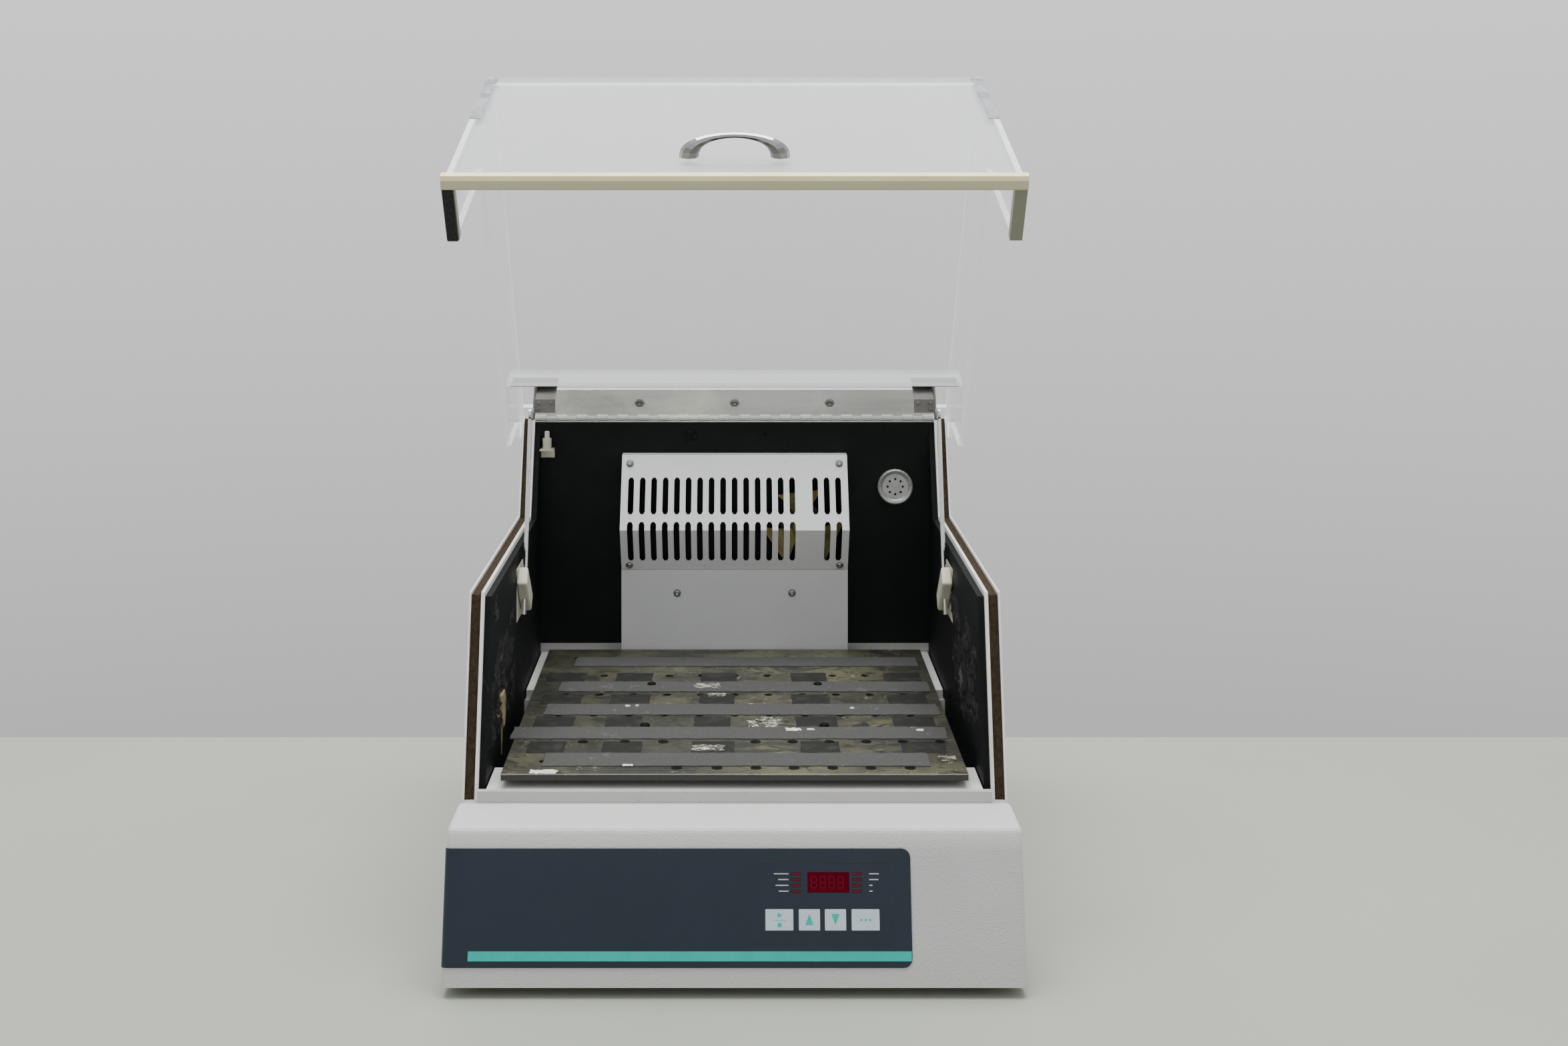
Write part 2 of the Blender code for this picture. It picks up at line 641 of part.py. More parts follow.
def make_controls(face):
    """Display, lamps, membrane keys and the board behind them."""
    front = GAP + LABEL_THICKNESS
    board_front = -COVER_WALL - GAP
    window_back = -0.0004
    add_node("display_window", box((DISPLAY_LEFT, DISPLAY_LOW, window_back),
                                   (DISPLAY_LEFT + DISPLAY_WIDTH, DISPLAY_LOW + DISPLAY_HEIGHT, front)),
             (0.30, 0.01, 0.02), 0.2, parent=face)
    edge = PANEL_MARGIN * 2
    board_right = KEY_LEFTS[3] + KEY_WIDTHS[3] + edge
    sheet = box((KEY_LEFTS[0] - edge, KEY_LOW - edge, board_front - BOARD_THICKNESS),
                (board_right, DISPLAY_LOW + DISPLAY_HEIGHT + edge, board_front))
    board = add_node("control_board", sheet, (0.02, 0.16, 0.07), 0.5, parent=face)
    switches = box((DISPLAY_LEFT, DISPLAY_LOW, board_front - GAP),
                   (DISPLAY_LEFT + DISPLAY_WIDTH, DISPLAY_LOW + DISPLAY_HEIGHT, window_back - GAP))
    for left_edge, low_edge in lamp_places():
        add_box(switches, (left_edge, low_edge, board_front - GAP),
                (left_edge + LAMP_WIDTH, low_edge + LAMP_HEIGHT, front))
    key_back = front + KEY_PROUD - KEY_DEPTH
    for name, left_edge, width in zip(KEY_NAMES, KEY_LEFTS, KEY_WIDTHS):
        middle = (left_edge + width / 2, KEY_LOW + KEY_HEIGHT / 2)
        key_pivot = pivot(name + "_guide", (*middle, key_back), parent=face)
        half_w, half_h = width / 2, KEY_HEIGHT / 2
        cap = box((-half_w, -half_h, 0), (half_w, half_h, KEY_DEPTH))
        key = add_node(name, cap, (0.62, 0.62, 0.68), 0.4, parent=key_pivot)
        edge_round = key.modifiers.new("Edge", "BEVEL")
        edge_round.width = 0.0004
        edge_round.segments = 1
        left, right = middle[0] - DOME_HALF, middle[0] + DOME_HALF
        add_box(switches, (left, middle[1] - DOME_HALF, board_front - GAP),
                (right, middle[1] + DOME_HALF, key_back - KEY_TRAVEL - GAP))
    join(board, switches)


def make_floor():
    half = SKIN_INNER_X - GAP
    back = SKIN_BACK_Y - GAP

    def pit_outline(grow=0.0):
        x = PIT_HALF_WIDTH + grow
        front, rear = PIT_FRONT_Y - grow, PIT_BACK_Y + grow
        c = PIT_CHAMFER
        return [(-x + c, front), (x - c, front), (x, front + c), (x, rear - c),
                (x - c, rear), (-x + c, rear), (-x, rear - c), (-x, front + c)]

    back_skin = REAR_SKIN_Y - GAP
    weld = DECK_Z - SHEET / 2
    ledge = [(LEDGE_FRONT_Y, weld), (LEDGE_FRONT_Y + SHEET, weld),
             (LEDGE_FRONT_Y + SHEET, LEDGE_Z - SHEET), (back_skin - SHEET, LEDGE_Z - SHEET),
             (back_skin - SHEET, weld), (back_skin, weld), (back_skin, LEDGE_Z), (LEDGE_FRONT_Y, LEDGE_Z)]
    ledge_half = LINER_X - SHEET
    deck = box((-half, COVER_BACK_Y + GAP, DECK_Z - SHEET), (half, back, DECK_Z))
    floor = add_node("chamber_floor", deck, WHITE, 0.4)
    join(floor, prism(pit_outline(SHEET), "Z", PIT_FLOOR_Z - SHEET, DECK_Z - SHEET / 2))
    cut(floor, prism(pit_outline(), "Z", PIT_FLOOR_Z, DECK_Z + 0.01))
    bores = turned(disc(HOUSING_RADIUS + GAP, 0.05, 0.15), at(0, ORBIT_Y), 24)
    for x, y in idler_places():
        add_turned(bores, disc(IDLER_SHAFT_RADIUS + 0.004, 0.05, 0.15), at(x, y), 12)
    cut(floor, bores)
    join(floor, prism(ledge, "X", -ledge_half, ledge_half))
    front, rear = COVER_BACK_Y + GAP, PIT_FRONT_Y - SHEET
    step = [(front, weld), (front, LEDGE_Z), (rear, LEDGE_Z), (rear, weld), (rear - SHEET, weld),
            (rear - SHEET, LEDGE_Z - SHEET), (front + SILL_DEPTH, LEDGE_Z - SHEET), (front + SILL_DEPTH, weld)]
    join(floor, prism(step, "X", -ledge_half, ledge_half))
    sill = INNER_SKIN_X - GAP
    join(floor, box((-sill, front, weld), (sill, front + SILL_DEPTH, LEDGE_Z)))
    bosses = bmesh.new()
    boss = disc(IDLER_HOUSING_RADIUS, PIT_FLOOR_Z - SHEET / 2, IDLER_BOSS_Z, IDLER_SHAFT_RADIUS + GAP)
    for x, y in idler_places():
        add_turned(bosses, boss, at(x, y), 16)
    join(floor, bosses)


def idler_places():
    spread = ((-IDLER_SPREAD_X, IDLER_SPREAD_Y), (IDLER_SPREAD_X, IDLER_SPREAD_Y), (0, -IDLER_SPREAD_Y))
    return [(x, ORBIT_Y + y) for x, y in spread]


def make_drive():
    """Belt-driven eccentric shaft with three idler cranks under the platform."""
    axis = at(0, ORBIT_Y)
    bottom = PIT_FLOOR_Z - HOUSING_DEPTH
    top = FLANGE_TOP_Z
    low_flange = PIT_FLOOR_Z + GAP
    seat = BEARING_RADIUS + GAP
    neck = BEARING_RADIUS - BEARING_LIP
    low_step = bottom + BEARING_WIDTH + 0.002
    high_step = top - BEARING_WIDTH - 0.002
    housing = [(HOUSING_RADIUS, bottom), (HOUSING_RADIUS, low_flange), (HOUSING_FLANGE_RADIUS, low_flange),
               (HOUSING_FLANGE_RADIUS, top), (seat, top), (seat, high_step), (neck, high_step),
               (neck, low_step), (seat, low_step), (seat, bottom)]
    add_node("bearing_housing", turned(housing, axis, 24), (0.35, 0.35, 0.36), 0.6, 0.7, smooth=True)
    for name, low in (("lower_bearing", low_step - GAP - BEARING_WIDTH), ("upper_bearing", high_step + GAP)):
        ring = disc(BEARING_RADIUS, low, low + BEARING_WIDTH, SHAFT_RADIUS + GAP)
        add_node(name, turned(ring, axis, 20), STEEL, 0.3, 0.9, smooth=True)

    crank = pivot("crank_axis", (0, ORBIT_Y, PIT_FLOOR_Z))
    down = -PIT_FLOOR_Z
    r = SHAFT_RADIUS
    shaft_low = PULLEY_Z - SHAFT_TAIL
    shaft = [(0, shaft_low + down), (r, shaft_low + down), (r, CRANK_Z + down),
             (CRANK_RADIUS, CRANK_Z + down), (CRANK_RADIUS, CRANK_TOP_Z + down), (0, CRANK_TOP_Z + down)]
    bar = turned(shaft, segments=24)
    node = add_node("eccentric_shaft", bar, STEEL, 0.35, 0.9, parent=crank, smooth=True)
    pin_top = CARRIER_Z + CARRIER_THICKNESS - 0.001
    pin = disc(CRANK_PIN_RADIUS, CRANK_TOP_Z - 0.002 + down, pin_top + down)
    join(node, turned(pin, at(0, ORBIT_RADIUS), 16))

    # The counterweight is a half disc opposite the crank pin
    weight = arc((0, 0), WEIGHT_RADIUS, 180, 360, 16) + arc((0, 0), 0.018, 0, 180, 8)
    low, high = WEIGHT_Z + down, WEIGHT_Z + WEIGHT_THICKNESS + down
    half_disc = prism(weight, "Z", low, high)
    node = add_node("counterweight", half_disc, (0.12, 0.12, 0.13), 0.6, 0.6, parent=crank)
    cut(node, turned(disc(r + GAP, low - 0.01, high + 0.01), segments=24))
    wheel = turned(pulley(SHAFT_PULLEY_RADIUS, r + GAP, down), segments=28)
    add_node("shaft_pulley", wheel, ALLOY, 0.4, 0.8, parent=crank, smooth=True)

    motor_axis = pivot("motor_axis", (MOTOR_X, MOTOR_Y, PIT_FLOOR_Z))
    motor_low = PULLEY_Z + PULLEY_WIDTH + 0.008
    motor_high = PIT_FLOOR_Z - SHEET - GAP
    inner, outer = MOTOR_SHAFT_RADIUS + 0.002, MOTOR_RADIUS
    body = [(inner, motor_low), (outer - MOTOR_ROUND, motor_low), (outer, motor_low + MOTOR_ROUND),
            (outer, motor_high), (inner, motor_high)]
    add_node("drive_motor", turned(body, at(MOTOR_X, MOTOR_Y), 24), DARK, 0.5, 0.4, smooth=True)
    wheel = turned(pulley(MOTOR_PULLEY_RADIUS, 0, down), segments=16)
    node = add_node("motor_pulley", wheel, ALLOY, 0.4, 0.8, parent=motor_axis, smooth=True)
    stub = disc(MOTOR_SHAFT_RADIUS, PULLEY_Z + PULLEY_WIDTH - 0.002 + down, motor_high - 0.004 + down)
    join(node, turned(stub, segments=8))
    make_belt()

    for i, (x, y) in enumerate(idler_places()):
        spot = pivot("idler_axis_%d" % (i + 1), (x, y, PIT_FLOOR_Z))
        disc_low = IDLER_BOSS_Z + GAP + down
        shaft_end = low_flange + down - 0.006
        disc_high = disc_low + IDLER_DISC_THICKNESS
        profile = [(0, shaft_end), (IDLER_SHAFT_RADIUS, shaft_end), (IDLER_SHAFT_RADIUS, disc_low),
                   (IDLER_DISC_RADIUS, disc_low), (IDLER_DISC_RADIUS, disc_high), (0, disc_high)]
        web = turned(profile, segments=16)
        node = add_node("idler_crank_%d" % (i + 1), web, STEEL, 0.35, 0.9, parent=spot, smooth=True)
        join(node, turned(disc(IDLER_PIN_RADIUS, disc_low + 0.005, pin_top + down), at(0, ORBIT_RADIUS), 12))
    return crank


def pulley(radius, bore, down):
    low, high = PULLEY_Z + down, PULLEY_Z + PULLEY_WIDTH + down
    lip = radius + PULLEY_LIP
    return [(bore, low), (lip, low), (lip, low + PULLEY_EDGE), (radius, low + PULLEY_EDGE),
            (radius, high - PULLEY_EDGE), (lip, high - PULLEY_EDGE), (lip, high), (bore, high)]


def make_belt():
    """Flat loop round both pulleys: two tangents and two arcs."""
    dx, dy = MOTOR_X, MOTOR_Y - ORBIT_Y
    heading = atan2(dy, dx)
    lean = acos((SHAFT_PULLEY_RADIUS - MOTOR_PULLEY_RADIUS) / hypot(dx, dy))
    a, b = (heading + lean) * 180 / pi, (heading - lean) * 180 / pi

    def loop(grow):
        big = arc((0, ORBIT_Y), SHAFT_PULLEY_RADIUS + grow, a, b + 360, 24)
        small = arc((MOTOR_X, MOTOR_Y), MOTOR_PULLEY_RADIUS + grow, b, a, 10)
        return big + small

    low, high = PULLEY_Z + 0.002, PULLEY_Z + PULLEY_WIDTH - 0.002
    belt = add_node("drive_belt", prism(loop(GAP + BELT_THICKNESS), "Z", low, high), (0.03, 0.03, 0.03), 0.8)
    cut(belt, prism(loop(GAP), "Z", low - 0.01, high + 0.01))


def make_platform(crank):
    """Everything that rides on the crank pin and keeps its heading."""
    deck = pivot("platform_axis", (0, ORBIT_RADIUS, 0), parent=crank)
    down = -PIT_FLOOR_Z
    half = CARRIER_SIDE / 2
    short = half - CARRIER_CORNER
    outline = [(-short, -half), (short, -half), (half, -short), (half, short),
               (short, half), (-short, half), (-half, short), (-half, -short)]
    low, high = CARRIER_Z + down, CARRIER_Z + CARRIER_THICKNESS + down
    spider = prism(outline, "Z", low, high)
    carrier = add_node("platform_carrier", spider, (0.4, 0.4, 0.4), 0.5, 0.7, parent=deck)
    join(carrier, turned(disc(CARRIER_HUB_RADIUS, CRANK_TOP_Z + GAP + down, low + 0.001), segments=24))
    holes = turned(disc(CRANK_PIN_RADIUS + GAP, 0, 0.2), segments=16)
    for x, y in idler_places():
        add_turned(holes, disc(IDLER_PIN_RADIUS + GAP, 0, 0.2), at(x, y - ORBIT_Y), 12)
    cut(carrier, holes)

    side, deep = PLATFORM_WIDTH / 2, PLATFORM_DEPTH / 2
    low, high = PLATFORM_LOW_Z + down, PLATFORM_TOP_Z + down
    slab = box((-side, -deep, low), (side, deep, high))
    plate = add_node("platform", slab, (0.10, 0.10, 0.085), 0.5, 0.6, parent=deck)
    grid = bmesh.new()
    first = -HOLE_PITCH * (HOLE_COLUMNS - 1) / 2
    for row in range(0, HOLE_COLUMNS, HOLE_ROW_STEP):
        for column in range(HOLE_COLUMNS):
            spot = at(first + HOLE_PITCH * column, first + HOLE_PITCH * row)
            add_turned(grid, disc(HOLE_RADIUS, low - 0.01, high + 0.01), spot, 8)
    cut(plate, grid)

    tape = bmesh.new()
    for centre, left, right in TAPES:
        y = centre - deep
        add_box(tape, (left - side, y - TAPE_WIDTH / 2, high - GAP),
                (side - right, y + TAPE_WIDTH / 2, high + TAPE_THICKNESS))
    join(plate, tape)
    screws = bmesh.new()
    head = [(0, high - 2 * GAP), (0.005, high - 2 * GAP), (0.004, high + 0.0022), (0, high + 0.0027)]
    for x in (-PLATFORM_SCREWS[0], PLATFORM_SCREWS[0]):
        for y in (-PLATFORM_SCREWS[1], PLATFORM_SCREWS[1]):
            add_turned(screws, head, at(x, y), 12)
    join(plate, screws)


def lid_slice(points):
    """Turns closed-lid (u, v) points into the lid frame's (y, z)."""
    return [(-u, v) for u, v in points]


def front_line(n, t):
    """A point n outside the lid's front panel and t up along it from its lower edge."""
    s, c = sin(FRONT_LEAN), cos(FRONT_LEAN)
    base_u = LID_CORNER_U + (LID_TOP_V - LID_BOTTOM_V) * tan(FRONT_LEAN)
    return (base_u + n * c - t * s, LID_BOTTOM_V + n * s + t * c)


def make_lid(lid):
    inner_u = LID_CORNER_U - ACRYLIC / cos(FRONT_LEAN)
    low = (-PANEL_HALF, -(inner_u - GAP), LID_TOP_V - ACRYLIC)
    add_node("lid_top", box(low, (PANEL_HALF, -LID_TOP_START_U, LID_TOP_V)), CLEAR, 0.08, parent=lid)
    panel = [front_line(0, 0), (LID_CORNER_U, LID_TOP_V), (inner_u, LID_TOP_V), front_line(-ACRYLIC, 0.0)]
    add_node("lid_front", prism(lid_slice(panel), "X", -PANEL_HALF, PANEL_HALF), CLEAR, 0.08, parent=lid)

    leg_u = front_line(0, 0)[0] - LID_LEG_LENGTH
    shoulder_u = leg_u - (CHEEK_SHOULDER_V - LID_BOTTOM_V) * tan(FRONT_LEAN)
    lobe = arc((LOBE_U, LOBE_V), LOBE_RADIUS, -45, -180, 6)
    cheek = [front_line(0, 0), (LID_CORNER_U, LID_TOP_V), (LOBE_U - LOBE_RADIUS + 0.006, LID_TOP_V),
             (LOBE_U - LOBE_RADIUS, LID_TOP_V - 0.006)] + lobe[::-1]
    cheek += [(CHEEK_SLOPE_U, CHEEK_SHOULDER_V), (shoulder_u, CHEEK_SHOULDER_V), (leg_u, LID_BOTTOM_V)]
    for side, name in ((-1, "left"), (1, "right")):
        low, high = sorted((side * CHEEK_INNER_X, side * (CHEEK_INNER_X + ACRYLIC)))
        add_node("lid_cheek_" + name, prism(lid_slice(cheek), "X", low, high), CLEAR, 0.08, parent=lid)

    make_trim(lid, leg_u)
    make_handle(lid)
    top, low = Vector(BAFFLE_TOP), Vector(BAFFLE_LOW)
    run = (low - top).normalized()
    normal = Vector((-run.y, run.x)) * BAFFLE_THICKNESS
    strip = [tuple(top), tuple(low), tuple(low + normal), tuple(top + normal)]
    add_node("lid_baffle", prism(lid_slice(strip), "X", -PANEL_HALF, PANEL_HALF), CLEAR, 0.08, parent=lid)
    make_stay_brackets(lid)


def make_trim(lid, leg_u):
    half = TRIM_WIDTH / 2
    outer_x = CHEEK_MID_X + half
    bar = [front_line(-TRIM_INSIDE, -TRIM_BELOW), front_line(TRIM_OUTSIDE, -TRIM_BELOW),
           front_line(TRIM_OUTSIDE, TRIM_ABOVE), front_line(-TRIM_INSIDE, TRIM_ABOVE)]
    trim = add_node("lid_trim", prism(lid_slice(bar), "X", -outer_x, outer_x), CREAM, 0.5, parent=lid)
    legs = bmesh.new()
    bottom = LID_BOTTOM_V - TRIM_BELOW
    for side in (-1, 1):
        low, high = sorted((side * (CHEEK_MID_X - half), side * outer_x))
        add_box(legs, (low, -front_line(-ACRYLIC, 0)[0], bottom),
                (high, -leg_u, bottom + TRIM_BELOW + TRIM_ABOVE))
    join(trim, legs)
    inside, outside = -ACRYLIC - GAP, GAP
    panel_slot = [front_line(inside, -GAP), front_line(outside, -GAP), front_line(outside, 0.05),
                  front_line(inside, 0.05)]
    cheek_slot = [(leg_u - 0.01, LID_BOTTOM_V - GAP), front_line(GAP, -GAP), front_line(GAP, 0.05),
                  (leg_u - 0.01, -0.25)]
    cut(trim, prism(lid_slice(panel_slot), "X", -PANEL_HALF - GAP, PANEL_HALF + GAP))
    grooves = bmesh.new()
    for side in (-1, 1):
        low, high = sorted((side * (CHEEK_INNER_X - GAP), side * (CHEEK_INNER_X + ACRYLIC + GAP)))
        add_prism(grooves, lid_slice(cheek_slot), "X", low, high)
    cut(trim, grooves)
    front_u = front_line(-TRIM_INSIDE, -TRIM_BELOW)[0] - 0.001
    strip = box((-outer_x + 0.001, -front_u, bottom - GAP - GASKET_THICKNESS),
                (-outer_x + TRIM_WIDTH - 0.001, -leg_u - 0.001, bottom - GAP))
    add_node("lid_gasket", strip, BLACK, 0.9, parent=lid)


def make_handle(lid):
    """Chrome bow handle: an arched bar that widens into its two feet."""
    steps = 16
    bm = bmesh.new()
    rings = []
    for i in range(steps + 1):
        angle = pi * i / steps
        c, s = cos(angle), sin(angle)
        outer = Vector((-HANDLE_SPAN / 2 * c, HANDLE_RISE * s ** 0.8))
        inner = Vector((-(HANDLE_SPAN / 2 - HANDLE_FOOT) * c, (HANDLE_RISE - HANDLE_BAR) * s ** 0.9))
        centre, thick = (outer + inner) / 2, (outer - inner) / 2
        wide = HANDLE_WIDTH / 2 * (0.72 + 0.28 * c * c)
        ring = []
        for k in range(8):
            turn = 2 * pi * k / 8
            spot = centre + thick * cos(turn)
            u, v = front_line(max(GAP, spot.y + GAP), HANDLE_UP + wide * sin(turn))
            ring.append(bm.verts.new((spot.x, -u, v)))
        rings.append(ring)
    for a, b in zip(rings, rings[1:]):
        for k in range(8):
            m = (k + 1) % 8
            bm.faces.new((a[k], a[m], b[m], b[k]))
    bm.faces.new(rings[0])
    bm.faces.new(rings[-1])
    add_node("lid_handle", bm, (0.75, 0.75, 0.76), 0.12, 1.0, parent=lid, smooth=True)


def make_stay_brackets(lid):
    """Steel angle on each end of the baffle with the lug that the stay rod swings on."""
    top, low = Vector(BAFFLE_TOP), Vector(BAFFLE_LOW)
    run = (low - top).normalized()
    back = Vector((run.y, -run.x))
    start = low - run * 0.030 + back * GAP
    end = low - run * 0.004 + back * GAP
    sheet = BRACKET_SHEET
    plate = [tuple(start), tuple(end), tuple(end + back * sheet), tuple(start + back * sheet)]
    lug_x = STAY_X - STAY_RADIUS - SLIDE_GAP - sheet
    eye = Vector(STAY_PIVOT)
    spot = low - run * 0.018 + back * (GAP + sheet)
    front = Vector(start) + back * sheet / 2
    r = LUG_RADIUS
    lug = [tuple(front), tuple(Vector(end) + back * sheet / 2), (eye.x + r, eye.y + 0.002)]
    lug += arc(tuple(eye), r, 0, -180, 6) + [(eye.x - r, eye.y + 0.004)]
    for side, name in ((-1, "left"), (1, "right")):
        ends = sorted((side * BRACKET_INNER_X, side * BRACKET_OUTER_X))
        flat = prism(lid_slice(plate), "X", *ends)
        node = add_node("stay_bracket_" + name, flat, STEEL, 0.4, 0.9, parent=lid)
        join(node, prism(lid_slice(lug), "X", *sorted((side * lug_x, side * (lug_x + sheet)))))
        screws = bmesh.new()
        for inset in BRACKET_SCREWS:
            x = side * (BRACKET_INNER_X + inset)
            place = along((x, -spot.x, spot.y), (0, -back.x, back.y))
            add_turned(screws, [(0, -0.0002), (0.0038, -0.0002), (0.003, 0.0022), (0, 0.0026)], place, 10)
        join(node, screws)


def make_hinge(lid):
    pitch = HINGE_LENGTH / KNUCKLE_COUNT
    bore = PIN_RADIUS + 2 * GAP
    clear = KNUCKLE_RADIUS + 0.0008

    def knuckles(first, y, z):
        bm = bmesh.new()
        for i in range(first, KNUCKLE_COUNT, 2):
            left = -HINGE_LENGTH / 2 + pitch * i + GAP
            spot = along((left, y, z), (1, 0, 0))
            add_turned(bm, disc(KNUCKLE_RADIUS, 0, pitch - 2 * GAP, bore), spot, 6)
        return bm

    def tabs(first, low, high):
        bm = bmesh.new()
        for i in range(first, KNUCKLE_COUNT, 2):
            left = -HINGE_LENGTH / 2 + pitch * i + GAP
            add_box(bm, (left, *low), (left + pitch - 2 * GAP, *high))
        return bm

    half = HINGE_LENGTH / 2
    z = HINGE_RAIL_Z + GAP
    leaf_low, leaf_high = (HINGE_Y + clear, z), (SKIN_BACK_Y - GAP, z + SHEET)
    inner = INNER_SKIN_X - GAP
    body = add_node("hinge_body_leaf", box((-inner, *leaf_low), (inner, *leaf_high)), STEEL, 0.35, 0.9)
    join(body, tabs(0, (HINGE_Y + GAP, z + 0.0001), (HINGE_Y + clear + 0.0005, z + SHEET - 0.0001)))
    join(body, knuckles(0, HINGE_Y, HINGE_Z))
    axis = along((0, HINGE_Y, HINGE_Z), (1, 0, 0))
    add_node("hinge_pin", turned(disc(PIN_RADIUS, -half + GAP, half - GAP), axis, 8), STEEL, 0.3, 0.9)

    top = KNUCKLE_RADIUS
    strip = box((-half, -LID_LEAF_WIDTH, top - SHEET), (half, -clear, top))
    leaf = add_node("hinge_lid_leaf", strip, STEEL, 0.35, 0.9, parent=lid)
    join(leaf, tabs(1, (-clear - 0.0005, top - SHEET + 0.0001), (-GAP, top - 0.0001)))
    join(leaf, knuckles(1, 0, 0))

    screws = bmesh.new()
    head = top - SHEET + GAP
    for i in range(-2, 3):
        profile = [(0, head), (0.0048, head), (0.0042, head - 0.0022), (0, head - 0.0032)]
        add_turned(screws, profile, at(SCREW_PITCH * i, -LID_LEAF_WIDTH / 2 - 0.001), 8)
    join(leaf, screws)


def make_stays():
    """Sliding lid stays: a rod from the lid runs through a swivelling block on each wall."""
    eye_u, eye_v = STAY_PIVOT
    c, s = cos(LID_OPEN), sin(LID_OPEN)
    eye = Vector((HINGE_Y - (eye_u * c - eye_v * s), HINGE_Z + eye_u * s + eye_v * c))
    block = Vector((BLOCK_Y, BLOCK_Z))
    run = (block - eye)
    reach = run.length
    run.normalize()
    for side, name in ((-1, "left"), (1, "right")):
        outer = INNER_SKIN_X - GAP
        ends = sorted((side * outer, side * (outer - PLATE_THICKNESS)))
        plate = add_node("stay_plate_" + name, box((ends[0], *PLATE_LOW), (ends[1], *PLATE_HIGH)), NYLON, 0.5)
        plate.modifiers.new("Edge", "BEVEL").width = 0.0015
        spot = pivot("stay_pivot_" + name, (side * STAY_X, BLOCK_Y, BLOCK_Z))
        long, wide = BLOCK_LENGTH / 2, BLOCK_WIDTH / 2
        axis = Vector((cos(BLOCK_TILT), sin(BLOCK_TILT)))
        cross = Vector((-axis.y, axis.x))
        corners = ((-long, -wide), (long, -wide), (long, wide), (-long, wide))
        outline = [tuple(axis * a + cross * b) for a, b in corners]
        half = BLOCK_THICKNESS / 2
        node = add_node("stay_block_" + name, prism(outline, "X", -half, half), NYLON, 0.45, parent=spot)
        edge = node.modifiers.new("Edge", "BEVEL")
        edge.width = 0.0025
        edge.segments = 2
        cut(node, turned(disc(STAY_RADIUS + GAP, -0.05, 0.05), along((0, 0, 0), (0, run.x, run.y)), 12))

        up = (0, -run.x, -run.y)
        rod = turned(disc(STAY_RADIUS, -STAY_TAIL, reach - STAY_EYE_RADIUS + 0.001), along((0, 0, 0), up), 12)
        node = add_node("stay_rod_" + name, rod, (0.7, 0.7, 0.7), 0.15, 1.0, parent=spot, smooth=True)
        eye_spot = along((-0.0015, -run.x * reach, -run.y * reach), (1, 0, 0))
        join(node, turned(disc(STAY_EYE_RADIUS, 0, 0.003), eye_spot, 16))


def make_duct():
    half = DUCT_WIDTH / 2
    bottom = LEDGE_Z + GAP
    top = GRILLE_LOW[1] - GAP
    back = REAR_LINER_FACE - GAP
    face = DUCT_PANEL_Y
    inner = half - SHEET
    panel = [(-half, back), (-half, face), (half, face), (half, back), (inner, back), (inner, face + SHEET),
             (-inner, face + SHEET), (-inner, back)]
    panel_node = add_node("duct_panel", prism(panel, "Z", bottom, top), DUCT_GREY, 0.5)
    lap = half - SHEET / 2
    join(panel_node, box((-lap, face + SHEET / 2, top - SHEET), (lap, face + 0.0055, top)))

    # The grille is one folded sheet: top flange, upper face, lower face
    (ty, tz), (by, bz), (ly, lz) = GRILLE_TOP, GRILLE_BEND, GRILLE_LOW
    lean_up = atan2(ty - by, tz - bz)
    lean_down = atan2(ly - by, bz - lz)
    upper = Vector((cos(lean_up), -sin(lean_up))) * SHEET
    lower = Vector((cos(lean_down), sin(lean_down))) * SHEET
    skew = Vector((1, (upper.y + lower.y) / 2 / SHEET))
    mitre = Vector((by, bz)) + skew * SHEET / cos((lean_up + lean_down) / 2)
    section = [(back, tz), (ty, tz), (by, bz), (ly, lz), (ly + lower.x, lz + lower.y), tuple(mitre),
               (ty + upper.x, tz - SHEET - 0.0004), (back, tz - SHEET)]
    grille = add_node("duct_grille", prism(section, "X", -half, half), DUCT_GREY, 0.45)
    slots = bmesh.new()
    first = -SLOT_PITCH * (SLOT_COLUMNS - 1) / 2
    for (low, high), blanks in ((UPPER_SLOTS, UPPER_BLANKS), (LOWER_SLOTS, LOWER_BLANKS)):
        for column in range(SLOT_COLUMNS):
            if column not in blanks:
                slot = slot_outline(first + SLOT_PITCH * column, low, high, SLOT_WIDTH, 3)
                add_prism(slots, slot, "Y", 0.20, 0.30)
    cut(grille, slots)

    # The channel's sides carry on up behind the grille and close the duct's ends
    ends = bmesh.new()
    flange_under = tz - SHEET - 2 * GAP
    foot_y, foot_z = ly + 0.0025, lz - 0.006
    plate = [(ty + 0.005, flange_under), (mitre.x + 0.0006, bz), (foot_y, lz + GAP), (foot_y, foot_z),
             (back, foot_z), (back, flange_under)]
    for side in (-1, 1):
        add_prism(ends, plate, "X", *sorted((side * half, side * (half - SHEET))))
    join(panel_node, ends)

    normal_up = (0, -cos(lean_up), sin(lean_up))
    normal_down = (0, -cos(lean_down), -sin(lean_down))
    head = [(0, -GAP), (0.004, -GAP), (0.0032, 0.0022), (0, 0.0026)]
    screws = bmesh.new()
    for x in (-DUCT_SCREW_X, DUCT_SCREW_X):
        z = tz - 0.010
        add_turned(screws, head, along((x, ty - (tz - z) * tan(lean_up), z), normal_up), 10)
        z = lz + 0.006
        add_turned(screws, head, along((x, ly - (z - lz) * tan(lean_down), z), normal_down), 10)
    join(grille, screws)
    screws = bmesh.new()
    for x in (-PANEL_SCREW_X, PANEL_SCREW_X):
        add_turned(screws, head, along((x, face, PANEL_SCREW_Z), (0, -1, 0)), 10)
    join(panel_node, screws)


